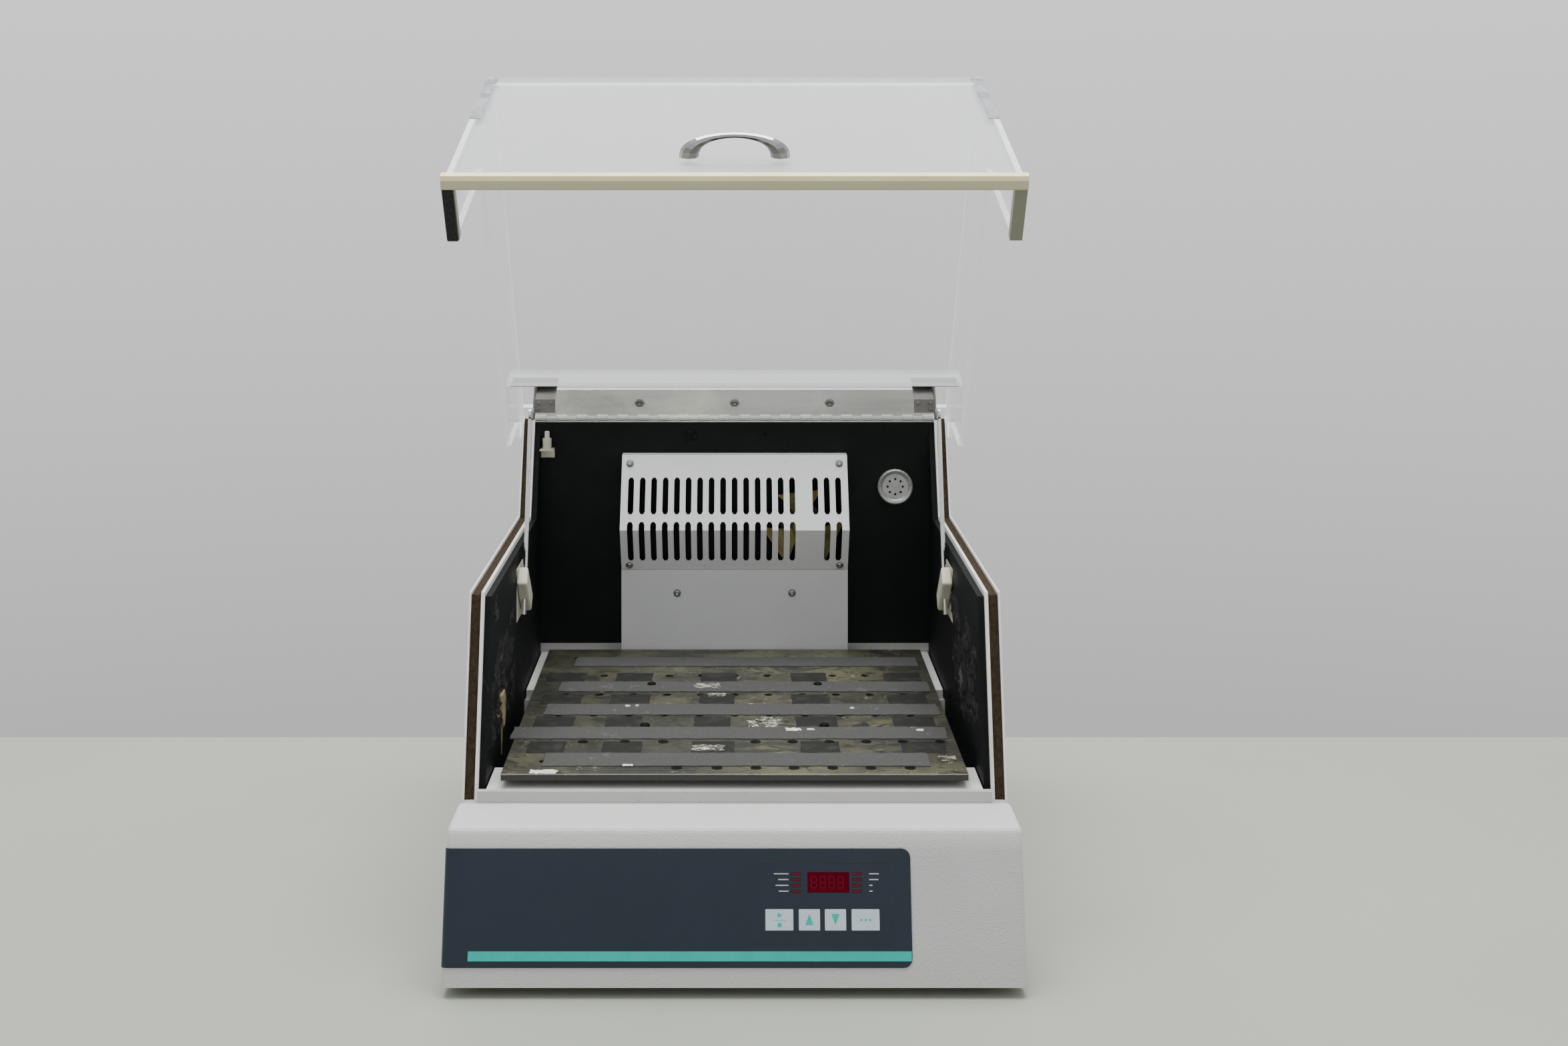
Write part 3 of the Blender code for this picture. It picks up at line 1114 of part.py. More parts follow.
def make_fan():
    back = REAR_LINER_FACE - GAP
    motor_front = back - FAN_MOTOR_DEPTH
    forward = along((0, 0, 0), (0, -1, 0))
    bore, radius, depth = FAN_SHAFT_RADIUS + 0.0005, FAN_MOTOR_RADIUS, FAN_MOTOR_DEPTH
    can = [(bore, 0), (radius, 0), (radius, depth - 0.002), (radius - 0.003, depth), (bore, depth)]
    add_node("fan_motor", turned(can, at(FAN_X, back, FAN_Z) @ forward, 28), DARK, 0.5, 0.5, smooth=True)
    spin = pivot("fan_axis", (FAN_X, motor_front, FAN_Z))
    radius, reach = FAN_HUB_RADIUS, FAN_HUB_REACH
    profile = [(0, 0.001), (radius, 0.001), (radius - 0.002, reach), (0, reach)]
    hub = turned(profile, forward, 20)
    node = add_node("fan_blades", hub, (0.45, 0.36, 0.06), 0.45, parent=spin, smooth=True)
    join(node, turned(disc(FAN_SHAFT_RADIUS, -0.010, 0.002), forward, 10))
    blades = bmesh.new()
    for i in range(FAN_BLADES):
        turn = 2 * pi * i / FAN_BLADES + BLADE_START
        rows = []
        for k in range(6):
            radius = FAN_HUB_RADIUS - 0.003 + (FAN_RADIUS - FAN_HUB_RADIUS + 0.003) * k / 5
            spread = radians(24 + 10 * k / 5)
            row = []
            for w in (-1, 1):
                angle = turn + w * spread
                depth = -BLADE_DEPTH - w * BLADE_PITCH
                for t in (0, BLADE_SHEET):
                    row.append(blades.verts.new((radius * cos(angle), depth + t, radius * sin(angle))))
            rows.append(row)
        for a, b in zip(rows, rows[1:]):
            blades.faces.new((a[0], a[2], b[2], b[0]))
            blades.faces.new((a[1], b[1], b[3], a[3]))
            blades.faces.new((a[0], b[0], b[1], a[1]))
            blades.faces.new((a[2], a[3], b[3], b[2]))
        blades.faces.new((rows[0][0], rows[0][1], rows[0][3], rows[0][2]))
        blades.faces.new((rows[-1][0], rows[-1][2], rows[-1][3], rows[-1][1]))
    join(node, blades)


def make_heater():
    """Hairpin heater tube behind the lower duct panel, standing on the ledge."""
    radius, bend, reach = HEATER_RADIUS, HEATER_BEND, HEATER_REACH
    y = HEATER_Y
    low, high = LEDGE_Z + GAP, HEATER_TOP_Z
    route = [(-reach, low), (-reach, high - bend)]
    route += arc((-reach + bend, high - bend), bend, 180, 90, 5)[1:]
    route += arc((reach - bend, high - bend), bend, 90, 0, 5)
    route += [(reach, low)]
    curve = bpy.data.curves.new("heater_element", "CURVE")
    curve.dimensions = "3D"
    curve.bevel_depth = radius
    curve.bevel_resolution = 2
    curve.use_fill_caps = True
    line = curve.splines.new("POLY")
    line.points.add(len(route) - 1)
    for point, (x, z) in zip(line.points, route):
        point.co = (x, y, z, 1)
    made = bpy.data.objects.new("heater_element", curve)
    scene.collection.objects.link(made)
    curve.materials.append(material("heater_element", (0.35, 0.25, 0.2), 0.5, 0.8))


def make_vent():
    place = along((VENT_X, REAR_LINER_FACE - GAP, VENT_Z), (0, -1, 0))
    rim = VENT_RADIUS
    profile = [(0, 0), (rim, 0), (rim, 0.005), (rim - 0.0015, 0.0065), (rim - 0.004, 0.005),
               (rim - 0.006, 0.003), (0, 0.003)]
    cap = add_node("vent_cap", turned(profile, place, 24), (0.6, 0.6, 0.6), 0.45, smooth=True)
    holes = bmesh.new()
    for i in range(VENT_HOLES):
        angle = 2 * pi * i / VENT_HOLES
        x = VENT_X + VENT_HOLE_CIRCLE * cos(angle)
        z = VENT_Z + VENT_HOLE_CIRCLE * sin(angle)
        spot = along((x, REAR_LINER_FACE + 0.001, z), (0, -1, 0))
        add_turned(holes, disc(VENT_HOLE_RADIUS, -0.005, 0.012), spot, 6)
    cut(cap, holes)


def make_lid_switch():
    """Plunger switch that tells the drive that the lid is shut."""
    back = REAR_LINER_FACE - GAP
    front, drop = SWITCH_Y - 0.009, SWITCH_Z - SWITCH_DROP
    plate = [(front, SWITCH_Z), (back, SWITCH_Z), (back, drop), (back - SHEET, drop),
             (back - SHEET, SWITCH_Z - SHEET), (front, SWITCH_Z - SHEET)]
    angle = prism(plate, "X", SWITCH_X - SWITCH_HALF, SWITCH_X + SWITCH_HALF)
    switch = add_node("lid_switch", angle, NYLON, 0.5)
    axis = at(SWITCH_X, SWITCH_Y)
    cut(switch, turned(disc(PLUNGER_RADIUS + 0.001, SWITCH_Z - 0.01, SWITCH_Z + 0.01), axis, 16))
    low = SWITCH_Z + GAP
    high = low + SWITCH_HEIGHT
    bore = PLUNGER_RADIUS + GAP
    join(switch, turned(disc(SWITCH_RADIUS, SWITCH_Z - GAP, high, bore), axis, 20))
    spot = pivot("plunger_axis", (SWITCH_X, SWITCH_Y, low))
    rise = high - low + PLUNGER_RISE
    profile = [(0, 0), (PLUNGER_RADIUS, 0), (PLUNGER_RADIUS, rise - 0.001), (PLUNGER_RADIUS - 0.001, rise),
               (0, rise)]
    add_node("switch_plunger", turned(profile, segments=16), CLEAR, 0.2, parent=spot, smooth=True)


def make_inlet():
    """Appliance inlet and rocker switch in the lower rear panel."""
    back = BODY_BACK_Y
    left, right = module_ends()
    half = MODULE_HEIGHT / 2
    module = box((left, back - MODULE_DEPTH, INLET_Z - half), (right, back - GAP, INLET_Z + half))
    node = add_node("power_inlet", module, BLACK, 0.5)
    hollows = bmesh.new()
    for x, (width, height, depth) in ((INLET_X, INLET_SOCKET), (ROCKER_X, ROCKER_FRAME)):
        add_box(hollows, (x - width / 2, back - depth, INLET_Z - height / 2),
                (x + width / 2, back + 0.01, INLET_Z + height / 2))
    cut(node, hollows)
    pins = bmesh.new()
    for x, z in INLET_PINS:
        add_box(pins, (INLET_X + x - 0.001, back - 0.020, INLET_Z + z - 0.002),
                (INLET_X + x + 0.001, back - 0.006, INLET_Z + z + 0.002))
    join(node, pins)
    spot = pivot("rocker_axis", (ROCKER_X, back - ROCKER_DEPTH, INLET_Z), (ROCKER_TILT, 0, 0))
    half = ROCKER_FRAME[0] / 2 - 0.0004
    add_node("power_rocker", prism(ROCKER_SIDE, "X", -half, half), BLACK, 0.4, parent=spot)


make_base()
make_walls()
face = face_frame()
make_front_cover(face)
make_controls(face)
make_floor()
crank = make_drive()
make_platform(crank)
lid_axis = pivot("lid_axis", (0, HINGE_Y, HINGE_Z), (-LID_OPEN, 0, 0))
make_lid(lid_axis)
make_hinge(lid_axis)
make_stays()
make_duct()
make_fan()
make_heater()
make_vent()
make_lid_switch()
make_inlet()
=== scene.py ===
import json
import random
from math import cos, pi, radians, sin, tan

import bmesh
import bpy
from mathutils import Matrix, Vector, noise


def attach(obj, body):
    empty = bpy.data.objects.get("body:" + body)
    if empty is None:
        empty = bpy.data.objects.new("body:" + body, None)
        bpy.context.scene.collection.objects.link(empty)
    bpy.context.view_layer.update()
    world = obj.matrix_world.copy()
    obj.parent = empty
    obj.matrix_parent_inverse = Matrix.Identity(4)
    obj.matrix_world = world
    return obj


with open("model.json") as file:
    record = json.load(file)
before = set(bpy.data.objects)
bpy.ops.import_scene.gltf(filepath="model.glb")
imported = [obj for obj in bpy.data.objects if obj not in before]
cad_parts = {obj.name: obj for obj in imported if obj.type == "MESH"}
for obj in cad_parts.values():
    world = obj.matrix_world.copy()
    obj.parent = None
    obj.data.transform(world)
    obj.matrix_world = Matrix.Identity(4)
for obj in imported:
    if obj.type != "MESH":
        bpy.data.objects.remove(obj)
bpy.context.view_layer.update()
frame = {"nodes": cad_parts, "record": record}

# Frames of the leaning control face and of the lid, as in the part
FACE_LEAN = radians(14.3)
FACE = Matrix.Translation((0, -0.312, 0.010)) @ Matrix.Rotation(pi / 2 - FACE_LEAN, 4, "X")
LID = Matrix.Translation((0, 0.298, 0.450)) @ Matrix.Rotation(radians(-55), 4, "X")

# Faces and places of the part that carry the dress
LABEL_TOP = 0.0011
KEY_TOP = LABEL_TOP + 0.0006
SHELL_BACK = 0.3120
SIDE_LINER = 0.2440
REAR_LINER = 0.2912
VENT = Vector((0.2015, 0.2879, 0.365))
PLATE_CENTRE = Vector((0, 0.0236, 0.170))
PLATE_HALF = 0.2286
TAPE_TOP = 0.1706
CORNER_U = 0.498
LOW_V = -0.297
FRONT_SHEET = 0.0095
FOOT_PLACES = ((-0.230, -0.276), (0.230, -0.276), (-0.230, 0.276), (0.230, 0.276))

# Screw heads: radius and height
PLATE_SCREW = (0.0052, 0.0031)
PAN_HEAD = (0.0046, 0.0032)
SHELL_HEAD = (0.0042, 0.0014)
CLIP_HEAD = (0.0023, 0.0014)

# Print on the control face: how far its low and high sides stand off the label or key
STRIPE_INK = (0.00003, 0.00012)
LINE_INK = (0.00003, 0.0003)
MARK_INK = (0.00003, 0.0001)
LAMP_INK = (0.0, 0.00025)
DIGIT_INK = (0.00002, 0.00006)

# Places on the control face, across it and up it
STRIPE = (-0.2455, 0.0228, 0.1630, 0.0313)
OUTLINE = (0.0148, 0.0376, 0.1463, 0.1087)
OUTLINE_CORNER = 0.006
OUTLINE_WIDTH = 0.0004
LAMP_LOW = 0.0822
LAMP_PITCH = 0.00505
LAMP_LEFTS = (0.0528, 0.1093)
LAMP_SIZE = (0.0084, 0.0020)
BAR_LOW = 0.0828
BAR_HEIGHT = 0.0008
LEFT_BARS_END = 0.0500
RIGHT_BARS_START = 0.1250
DIGIT_CORNER = (0.0712, 0.0856)
DIGIT_PITCH = 0.0083

# Segments of one digit: left, low, right, high
SEGMENTS = (
    (0, 0, 0.0046, 0.0007),
    (0, 0.0049, 0.0046, 0.0056),
    (0, 0.0098, 0.0046, 0.0105),
    (-0.0004, 0.0009, 0.0003, 0.0047),
    (0.0043, 0.0009, 0.0050, 0.0047),
    (-0.0004, 0.0058, 0.0003, 0.0096),
    (0.0043, 0.0058, 0.0050, 0.0096),
)

# Worn surface of the grip tape: half its width, how far it passes the tape's ends, and its top
TAPE_HALF = 0.0195
TAPE_LAP = 0.001
STRIP_TOP = TAPE_TOP + 0.0003

# Strips: middle line behind the platform's front edge, left end, right end
TAPES = (
    (0.042, -0.190, 0.194),
    (0.127, -0.232, 0.221),
    (0.209, -0.206, 0.222),
    (0.296, -0.199, 0.221),
    (0.400, -0.190, 0.218),
)

# Marks of lost tape: how far behind each strip's middle line, x of each, half width and depth
RESIDUE_BEHIND = 0.0395
RESIDUE_PLACES = (-0.195, -0.116, -0.021, 0.085, 0.193)
RESIDUE_HALF_WIDTH = 0.021
RESIDUE_HALF_DEPTH = 0.0185

# Marks on the platform: left, right, front, back, and whether they lie on a tape strip
PALE_MARKS = (
    (-0.0444, -0.0168, 0.0850, 0.1029, True),
    (-0.0301, -0.0105, 0.0562, 0.0670, False),
    (0.0278, 0.0479, -0.0560, -0.0249, False),
    (0.0160, 0.0274, -0.0560, -0.0347, False),
    (0.0147, 0.0380, 0.0216, 0.0284, False),
    (-0.0432, -0.0114, -0.1322, -0.1160, False),
    (-0.0024, 0.0195, -0.0928, -0.0829, False),
    (0.2066, 0.2210, -0.1646, -0.1510, False),
)
PAPER_MARKS = (
    (0.0544, 0.0695, -0.0719, -0.0631, True),
    (0.0765, 0.0841, -0.0695, -0.0648, True),
    (0.1909, 0.1989, -0.0725, -0.0666, True),
    (-0.1204, -0.1155, 0.0129, 0.0186, True),
    (-0.1090, -0.1063, 0.0141, 0.0199, True),
    (-0.1110, -0.1010, -0.1840, -0.1788, True),
    (0.1268, 0.1308, 0.0052, 0.0109, True),
    (-0.2022, -0.1741, -0.2040, -0.1930, False),
)

# Rows of holes, each with a dark disc of painted shade: y, then the x of each hole
HOLE_MARKS = (
    (-0.1053, (-0.1567, -0.1134, -0.0738, 0.0217, 0.0598, 0.0979, 0.1360, 0.1741, 0.2122)),
    (-0.1866, (-0.0574, -0.0175, 0.0211, 0.0587, 0.0969, 0.1348, 0.1734)),
)

# Films on the platform: how far their low and high sides stand off what they lie on
RESIDUE_FILM = (0.00005, 0.00022)
SPOT_FILM = (0.00006, 0.00030)

# Screws of duct and grille: how far each pair stands from the middle, y, z, and where it faces
DUCT_SCREWS = (
    (0.130, 0.2679, 0.397, (0, -0.855, 0.519)),
    (0.130, 0.2551, 0.274, (0, -0.837, -0.548)),
    (0.071, 0.2570, 0.239, (0, -1, 0)),
)

# Places of the other screws, the hinge nuts and the vent's holes
PLATE_SCREW_X = 0.09525
PLATE_SCREW_Y = 0.0762
HINGE_NUT_PITCH = 0.119
HINGE_NUT_ROW = -0.024
LEAF_TOP = 0.0020
SHELL_COLUMNS = (-0.250, -0.125, 0.0, 0.125, 0.250)
SHELL_ROWS = (0.022, 0.425)
SHELL_MIDDLE = 0.225
VENT_RING = 0.0095

# Torn foam: size of one cell, how far its points shift, and how far its rim sinks
TORN_CELL = 0.0042
TORN_SHIFT = 0.0013
TORN_SINK = 0.0010

# Folded clips: inner and outer end, and the face that their screws stand on
CLIP_ENDS = (0.2085, 0.2318)
CLIP_FACE = 0.1235

# Looks that differ from the part's material slot: the grille's paint is lighter than the duct's, partly as
# painted light on its lower face
NODE_LOOKS = {"duct_grille": "grille_paint_lit"}

# Materials by slot
looks = {}


def front_line(n, t):
    """A point n outside the lid's front panel and t up it, as closed-lid (u, v)."""
    s, c = sin(FACE_LEAN), cos(FACE_LEAN)
    base = CORNER_U + (FRONT_SHEET - LOW_V) * s / c
    return base + n * c - t * s, LOW_V + n * s + t * c


class Look:
    """A procedural material built on a Principled shader and object coordinates."""

    def __init__(self, name, colour, roughness, metallic=0.0, **sockets):
        self.mat = bpy.data.materials.new(name)
        self.mat.use_nodes = True
        self.tree = self.mat.node_tree
        self.shader = self.tree.nodes["Principled BSDF"]
        self.shader.inputs["Base Color"].default_value = (*colour, 1)
        self.shader.inputs["Roughness"].default_value = roughness
        self.shader.inputs["Metallic"].default_value = metallic
        for key, value in sockets.items():
            self.shader.inputs[key.replace("_", " ")].default_value = value
        self.colour = (*colour, 1)
        self.height = None
        self.split = None
        self.coords = self.node("ShaderNodeTexCoord").outputs["Object"]

    def node(self, kind, **settings):
        """A new shader node with its settings."""
        made = self.tree.nodes.new(kind)
        for key, value in settings.items():
            setattr(made, key, value)
        return made

    def link(self, value, socket):
        """Joins an output to a socket, or sets the socket to a plain value."""
        if hasattr(value, "is_output"):
            self.tree.links.new(value, socket)
        else:
            socket.default_value = value

    def math(self, operation, a, b=0.0, clamp=False):
        """Two values combined, such as the product of two masks."""
        made = self.node("ShaderNodeMath", operation=operation, use_clamp=clamp)
        self.link(a, made.inputs[0])
        self.link(b, made.inputs[1])
        return made.outputs[0]

    def axis(self, name):
        """One object coordinate: X, Y or Z."""
        if not self.split:
            self.split = self.node("ShaderNodeSeparateXYZ")
            self.tree.links.new(self.coords, self.split.inputs[0])
        return self.split.outputs[name]

    def stretched(self, stretch):
        """The object coordinates, scaled along each axis if a stretch is given."""
        if not stretch:
            return self.coords
        mapping = self.node("ShaderNodeMapping")
        mapping.inputs["Scale"].default_value = stretch
        self.tree.links.new(self.coords, mapping.inputs[0])
        return mapping.outputs[0]

    def noise(self, scale, detail=4.0, rough=0.55, stretch=None, warp=0.0):
        """Cloudy noise between 0 and 1."""
        made = self.node("ShaderNodeTexNoise")
        made.inputs["Scale"].default_value = scale
        made.inputs["Detail"].default_value = detail
        made.inputs["Roughness"].default_value = rough
        made.inputs["Distortion"].default_value = warp
        self.tree.links.new(self.stretched(stretch), made.inputs["Vector"])
        return made.outputs["Fac"]

    def cells(self, scale, feature="F1"):
        """Distance to the nearest of many scattered points."""
        made = self.node("ShaderNodeTexVoronoi", feature=feature)
        made.inputs["Scale"].default_value = scale
        self.tree.links.new(self.coords, made.inputs["Vector"])
        return made.outputs["Distance"]

    def step(self, value, low, high, to=(0.0, 1.0)):
        """A ramp from one value at low to another at high, held beyond both."""
        made = self.node("ShaderNodeMapRange")
        self.link(value, made.inputs["Value"])
        made.inputs["From Min"].default_value = low
        made.inputs["From Max"].default_value = high
        made.inputs["To Min"].default_value = to[0]
        made.inputs["To Max"].default_value = to[1]
        return made.outputs["Result"]

    def band(self, axis, low, high, amount):
        """A mask that grows from 0 to an amount between two places along an axis."""
        return self.math("MULTIPLY", self.step(self.axis(axis), low, high), amount)

    def paint(self, mask, colour):
        """Lays a colour over what is there, where the mask is 1."""
        made = self.node("ShaderNodeMix", data_type="RGBA")
        self.link(mask, made.inputs[0])
        self.link(self.colour, made.inputs[6])
        self.link((*colour, 1), made.inputs[7])
        self.colour = made.outputs[2]
        self.tree.links.new(self.colour, self.shader.inputs["Base Color"])

    def rough(self, mask, low, high):
        """Roughness from low, where the mask is 0, to high, where it is 1."""
        self.tree.links.new(self.step(mask, 0.0, 1.0, (low, high)), self.shader.inputs["Roughness"])

    def bump(self, height, distance, strength=1.0):
        """Relief on top of the relief that is there."""
        made = self.node("ShaderNodeBump")
        made.inputs["Distance"].default_value = distance
        made.inputs["Strength"].default_value = strength
        self.tree.links.new(height, made.inputs["Height"])
        if self.height:
            self.tree.links.new(self.height, made.inputs["Normal"])
        self.height = made.outputs[0]
        self.tree.links.new(self.height, self.shader.inputs["Normal"])


def wear(look, colour, amount=0.5, scale=60.0):
    """Small irregular marks over a painted or plated surface."""
    marks = look.step(look.noise(scale, 8, 0.7), 0.66 - 0.08 * amount, 0.72)
    look.paint(look.math("MULTIPLY", marks, amount), colour)


def add(slot, colour, roughness, metallic=0.0, **sockets):
    """A look for a material slot of the part or for a piece of dress."""
    look = Look(slot, colour, roughness, metallic, **sockets)
    looks[slot] = look.mat
    return look


def make_paints():
    cover = add("cover_paint", (0.455, 0.460, 0.460), 0.55)
    cover.paint(cover.step(cover.noise(9, 5), 0.35, 0.75), (0.490, 0.495, 0.495))
    # painted light: the cover's top, above z 0.124 to 0.136, lighter than its leaning face
    cover.paint(cover.band("Z", 0.124, 0.136, 0.8), (0.62, 0.625, 0.62))
    cover.paint(cover.band("Z", 0.045, 0.008, 0.35), (0.42, 0.40, 0.36))
    specks = cover.step(cover.noise(170, 6, 0.75), 0.68, 0.74)
    cover.paint(cover.math("MULTIPLY", specks, 0.5), (0.30, 0.29, 0.27))
    cover.bump(cover.cells(720, "SMOOTH_F1"), 0.0006, 0.6)
    cover.rough(cover.noise(40), 0.48, 0.62)

    shell = add("shell_paint", (0.70, 0.70, 0.69), 0.42)
    shell.paint(shell.step(shell.noise(5, 6), 0.3, 0.8), (0.75, 0.75, 0.74))
    wear(shell, (0.36, 0.34, 0.31), 0.45, 90)
    shell.bump(shell.noise(520, 3), 0.00015, 0.4)

    skin = add("skin_paint", (0.74, 0.74, 0.73), 0.4)
    skin.paint(skin.step(skin.noise(14, 7), 0.45, 0.8), (0.62, 0.60, 0.55))
    wear(skin, (0.22, 0.18, 0.13), 0.7, 130)
    skin.bump(skin.noise(400, 3), 0.0001, 0.4)

    floor = add("floor_paint", (0.76, 0.76, 0.74), 0.38)
    floor.paint(floor.step(floor.noise(11, 7), 0.42, 0.85), (0.63, 0.62, 0.57))
    floor.paint(floor.band("Z", 0.142, 0.112, 0.5), (0.30, 0.29, 0.26))
    # painted shadow: the deck in front of the platform's front edge, y below -0.200, darker
    floor.paint(floor.band("Y", -0.200, -0.215, 0.85), (0.36, 0.36, 0.345))
    wear(floor, (0.20, 0.18, 0.15), 0.6, 110)
    floor.rough(floor.noise(30), 0.3, 0.5)

    pan = add("pan_steel", (0.42, 0.42, 0.41), 0.5, 0.3)
    pan.paint(pan.step(pan.noise(30, 6), 0.4, 0.7), (0.50, 0.50, 0.48))
    pan.bump(pan.noise(300, 3), 0.0001, 0.4)


def make_foams():
    foam = add("foam_core", (0.023, 0.016, 0.009), 0.9, Specular_IOR_Level=0.15)
    foam.paint(foam.step(foam.noise(240, 6, 0.7), 0.35, 0.7), (0.062, 0.042, 0.022))
    foam.bump(foam.noise(500, 5, 0.7), 0.0012, 0.9)

    liner = add("liner_foam", (0.0018, 0.0032, 0.0032), 0.6, Specular_IOR_Level=0.14)
    side = liner.step(liner.math("ABSOLUTE", liner.axis("X")), 0.235, 0.2425)
    liner.paint(liner.step(liner.noise(18, 5), 0.45, 0.8), (0.0040, 0.0062, 0.0060))
    smears = liner.step(liner.noise(9, 6, stretch=(1, 0.4, 1)), 0.4, 0.75)
    liner.paint(liner.math("MULTIPLY", side, smears), (0.0045, 0.0070, 0.0062))
    scuffs = liner.step(liner.noise(34, 7, 0.7, (1, 0.35, 1.0), 0.8), 0.62, 0.68)
    scuffs = liner.math("MULTIPLY", side, scuffs)
    liner.paint(liner.math("MULTIPLY", scuffs, 0.4), (0.026, 0.032, 0.030))
    liner.bump(liner.noise(900, 3), 0.0002, 0.5)
    liner.bump(liner.noise(22, 3), 0.0016, 0.5)

    torn = add("torn_foam", (0.0012, 0.0014, 0.0014), 0.2, Specular_IOR_Level=0.30)
    torn.paint(torn.step(torn.noise(130, 6, 0.7, (1, 0.4, 1), 1.0), 0.66, 0.68), (0.13, 0.14, 0.15))
    torn.paint(torn.step(torn.noise(62, 7, 0.65, (1, 0.45, 1)), 0.66, 0.675), (0.26, 0.20, 0.11))
    torn.rough(torn.noise(90, 5), 0.04, 0.24)
    torn.bump(torn.noise(150, 7, 0.7, (1, 0.6, 1)), 0.006, 1.0)


def make_films():
    label = add("label_film", (0.0115, 0.0200, 0.0320), 0.5, Specular_IOR_Level=0.28)
    label.paint(label.step(label.noise(7, 6), 0.4, 0.8), (0.0145, 0.0240, 0.0370))
    label.rough(label.noise(60, 6), 0.42, 0.56)
    label.bump(label.noise(1500, 2), 0.00006, 0.5)
    wear(label, (0.10, 0.12, 0.14), 0.25, 210)

    red = add("display_red", (0.088, 0.001, 0.009), 0.45, Specular_IOR_Level=0.0)
    red.paint(red.step(red.noise(160, 3), 0.4, 0.7), (0.102, 0.001, 0.011))
    red.rough(red.noise(80), 0.34, 0.46)

    board = add("circuit_board", (0.02, 0.16, 0.07), 0.45)
    board.paint(board.step(board.cells(260), 0.16, 0.12), (0.60, 0.56, 0.40))
    board.bump(board.cells(180), 0.0002, 0.5)

    key = add("key_film", (0.47, 0.555, 0.625), 0.42)
    key.paint(key.step(key.noise(50, 6), 0.4, 0.75), (0.52, 0.605, 0.67))
    key.bump(key.noise(1200, 2), 0.00005, 0.5)

    teal = add("teal_print", (0.008, 0.41, 0.365), 0.55, Specular_IOR_Level=0.2)
    teal.paint(teal.step(teal.noise(80, 5), 0.4, 0.7), (0.012, 0.45, 0.395))
    white = add("white_print", (0.60, 0.61, 0.62), 0.45)
    white.paint(white.step(white.noise(300, 4), 0.5, 0.8), (0.48, 0.49, 0.51))


def make_plate_looks():
    plate = add("worn_plate", (0.046, 0.046, 0.032), 0.45, 0.2)
    plate.paint(plate.step(plate.noise(6, 9, 0.64, warp=0.8), 0.46, 0.60), (0.108, 0.105, 0.060))
    plate.paint(plate.step(plate.noise(17, 10, 0.72, (1, 1.5, 1), 0.8), 0.51, 0.57), (0.026, 0.027, 0.021))
    plate.paint(plate.step(plate.noise(44, 9, 0.75, (1, 1.3, 1), 1.0), 0.56, 0.61), (0.012, 0.012, 0.010))
    plate.paint(plate.step(plate.noise(60, 9, 0.78, (1, 1.6, 1), 1.0), 0.59, 0.64), (0.20, 0.19, 0.13))
    plate.paint(plate.step(plate.noise(150, 7, 0.8, warp=0.5), 0.635, 0.67), (0.50, 0.50, 0.42))
    # painted shade: the plate's left side, from x 0.02 to -0.20, darker in noisy patches
    shade_patches = plate.step(plate.noise(12, 7, 0.7), 0.36, 0.56)
    darker = plate.math("MULTIPLY", plate.step(plate.axis("X"), 0.02, -0.20), shade_patches)
    plate.paint(plate.math("MULTIPLY", darker, 0.6), (0.028, 0.030, 0.025))
    # painted shade: the platform's front edge faces, below z 0.1690, darker than its top
    plate.paint(plate.step(plate.axis("Z"), 0.1690, 0.1686), (0.024, 0.024, 0.022))
    # painted highlight: a light line along the top of the platform's front edge
    rim = plate.step(plate.axis("Y"), -0.2040, -0.2044)
    rim = plate.math("MULTIPLY", rim, plate.step(plate.axis("Z"), 0.1693, 0.1697))
    plate.paint(plate.math("MULTIPLY", rim, 0.8), (0.42, 0.40, 0.33))
    plate.rough(plate.noise(42, 7, 0.7), 0.30, 0.66)
    plate.bump(plate.noise(260, 6, 0.7), 0.0004, 0.5)

    tape = add("grip_tape", (0.053, 0.053, 0.052), 0.85, Specular_IOR_Level=0.3)
    tape.paint(tape.step(tape.noise(900, 2), 0.45, 0.62), (0.080, 0.080, 0.078))
    tape.paint(tape.step(tape.noise(30, 8, 0.75), 0.60, 0.72), (0.125, 0.122, 0.110))
    tape.paint(tape.step(tape.noise(90, 8, 0.75, (1, 1.5, 1)), 0.665, 0.70), (0.42, 0.42, 0.38))
    tape.bump(tape.noise(1500, 2), 0.0004, 0.9)
    residue = add("tape_residue", (0.0145, 0.0150, 0.0140), 0.7, Specular_IOR_Level=0.2)
    residue.paint(residue.step(residue.noise(60, 7, 0.7), 0.5, 0.66), (0.032, 0.032, 0.027))
    residue.bump(residue.noise(700, 4), 0.0003, 0.7)
    pale = add("pale_residue", (0.50, 0.50, 0.40), 0.6)
    pale.paint(pale.step(pale.noise(240, 5, 0.7), 0.50, 0.62), (0.78, 0.77, 0.68))
    cover_up = pale.step(pale.noise(75, 9, 0.8, (1, 2.2, 1), 1.4), 0.49, 0.56)
    pale.tree.links.new(cover_up, pale.shader.inputs["Alpha"])
    pale.bump(pale.noise(300, 6), 0.0005, 0.8)
    paper = add("torn_paper", (0.74, 0.73, 0.66), 0.7)
    paper.paint(paper.step(paper.noise(120, 7, 0.7), 0.50, 0.66), (0.55, 0.53, 0.44))
    paper.bump(paper.noise(400, 5), 0.0002, 0.6)
    # dark dull look for screw heads, and for discs of painted shade inside holes
    screw_and_hole_shade = add("dark_screw_and_hole_shade", (0.0035, 0.0035, 0.003), 0.6, Specular_IOR_Level=0.08)
    screw_and_hole_shade.paint(screw_and_hole_shade.step(screw_and_hole_shade.noise(150, 7, 0.7), 0.5, 0.66), (0.012, 0.012, 0.010))
    screw_and_hole_shade.bump(screw_and_hole_shade.noise(300, 5), 0.0002, 0.5)


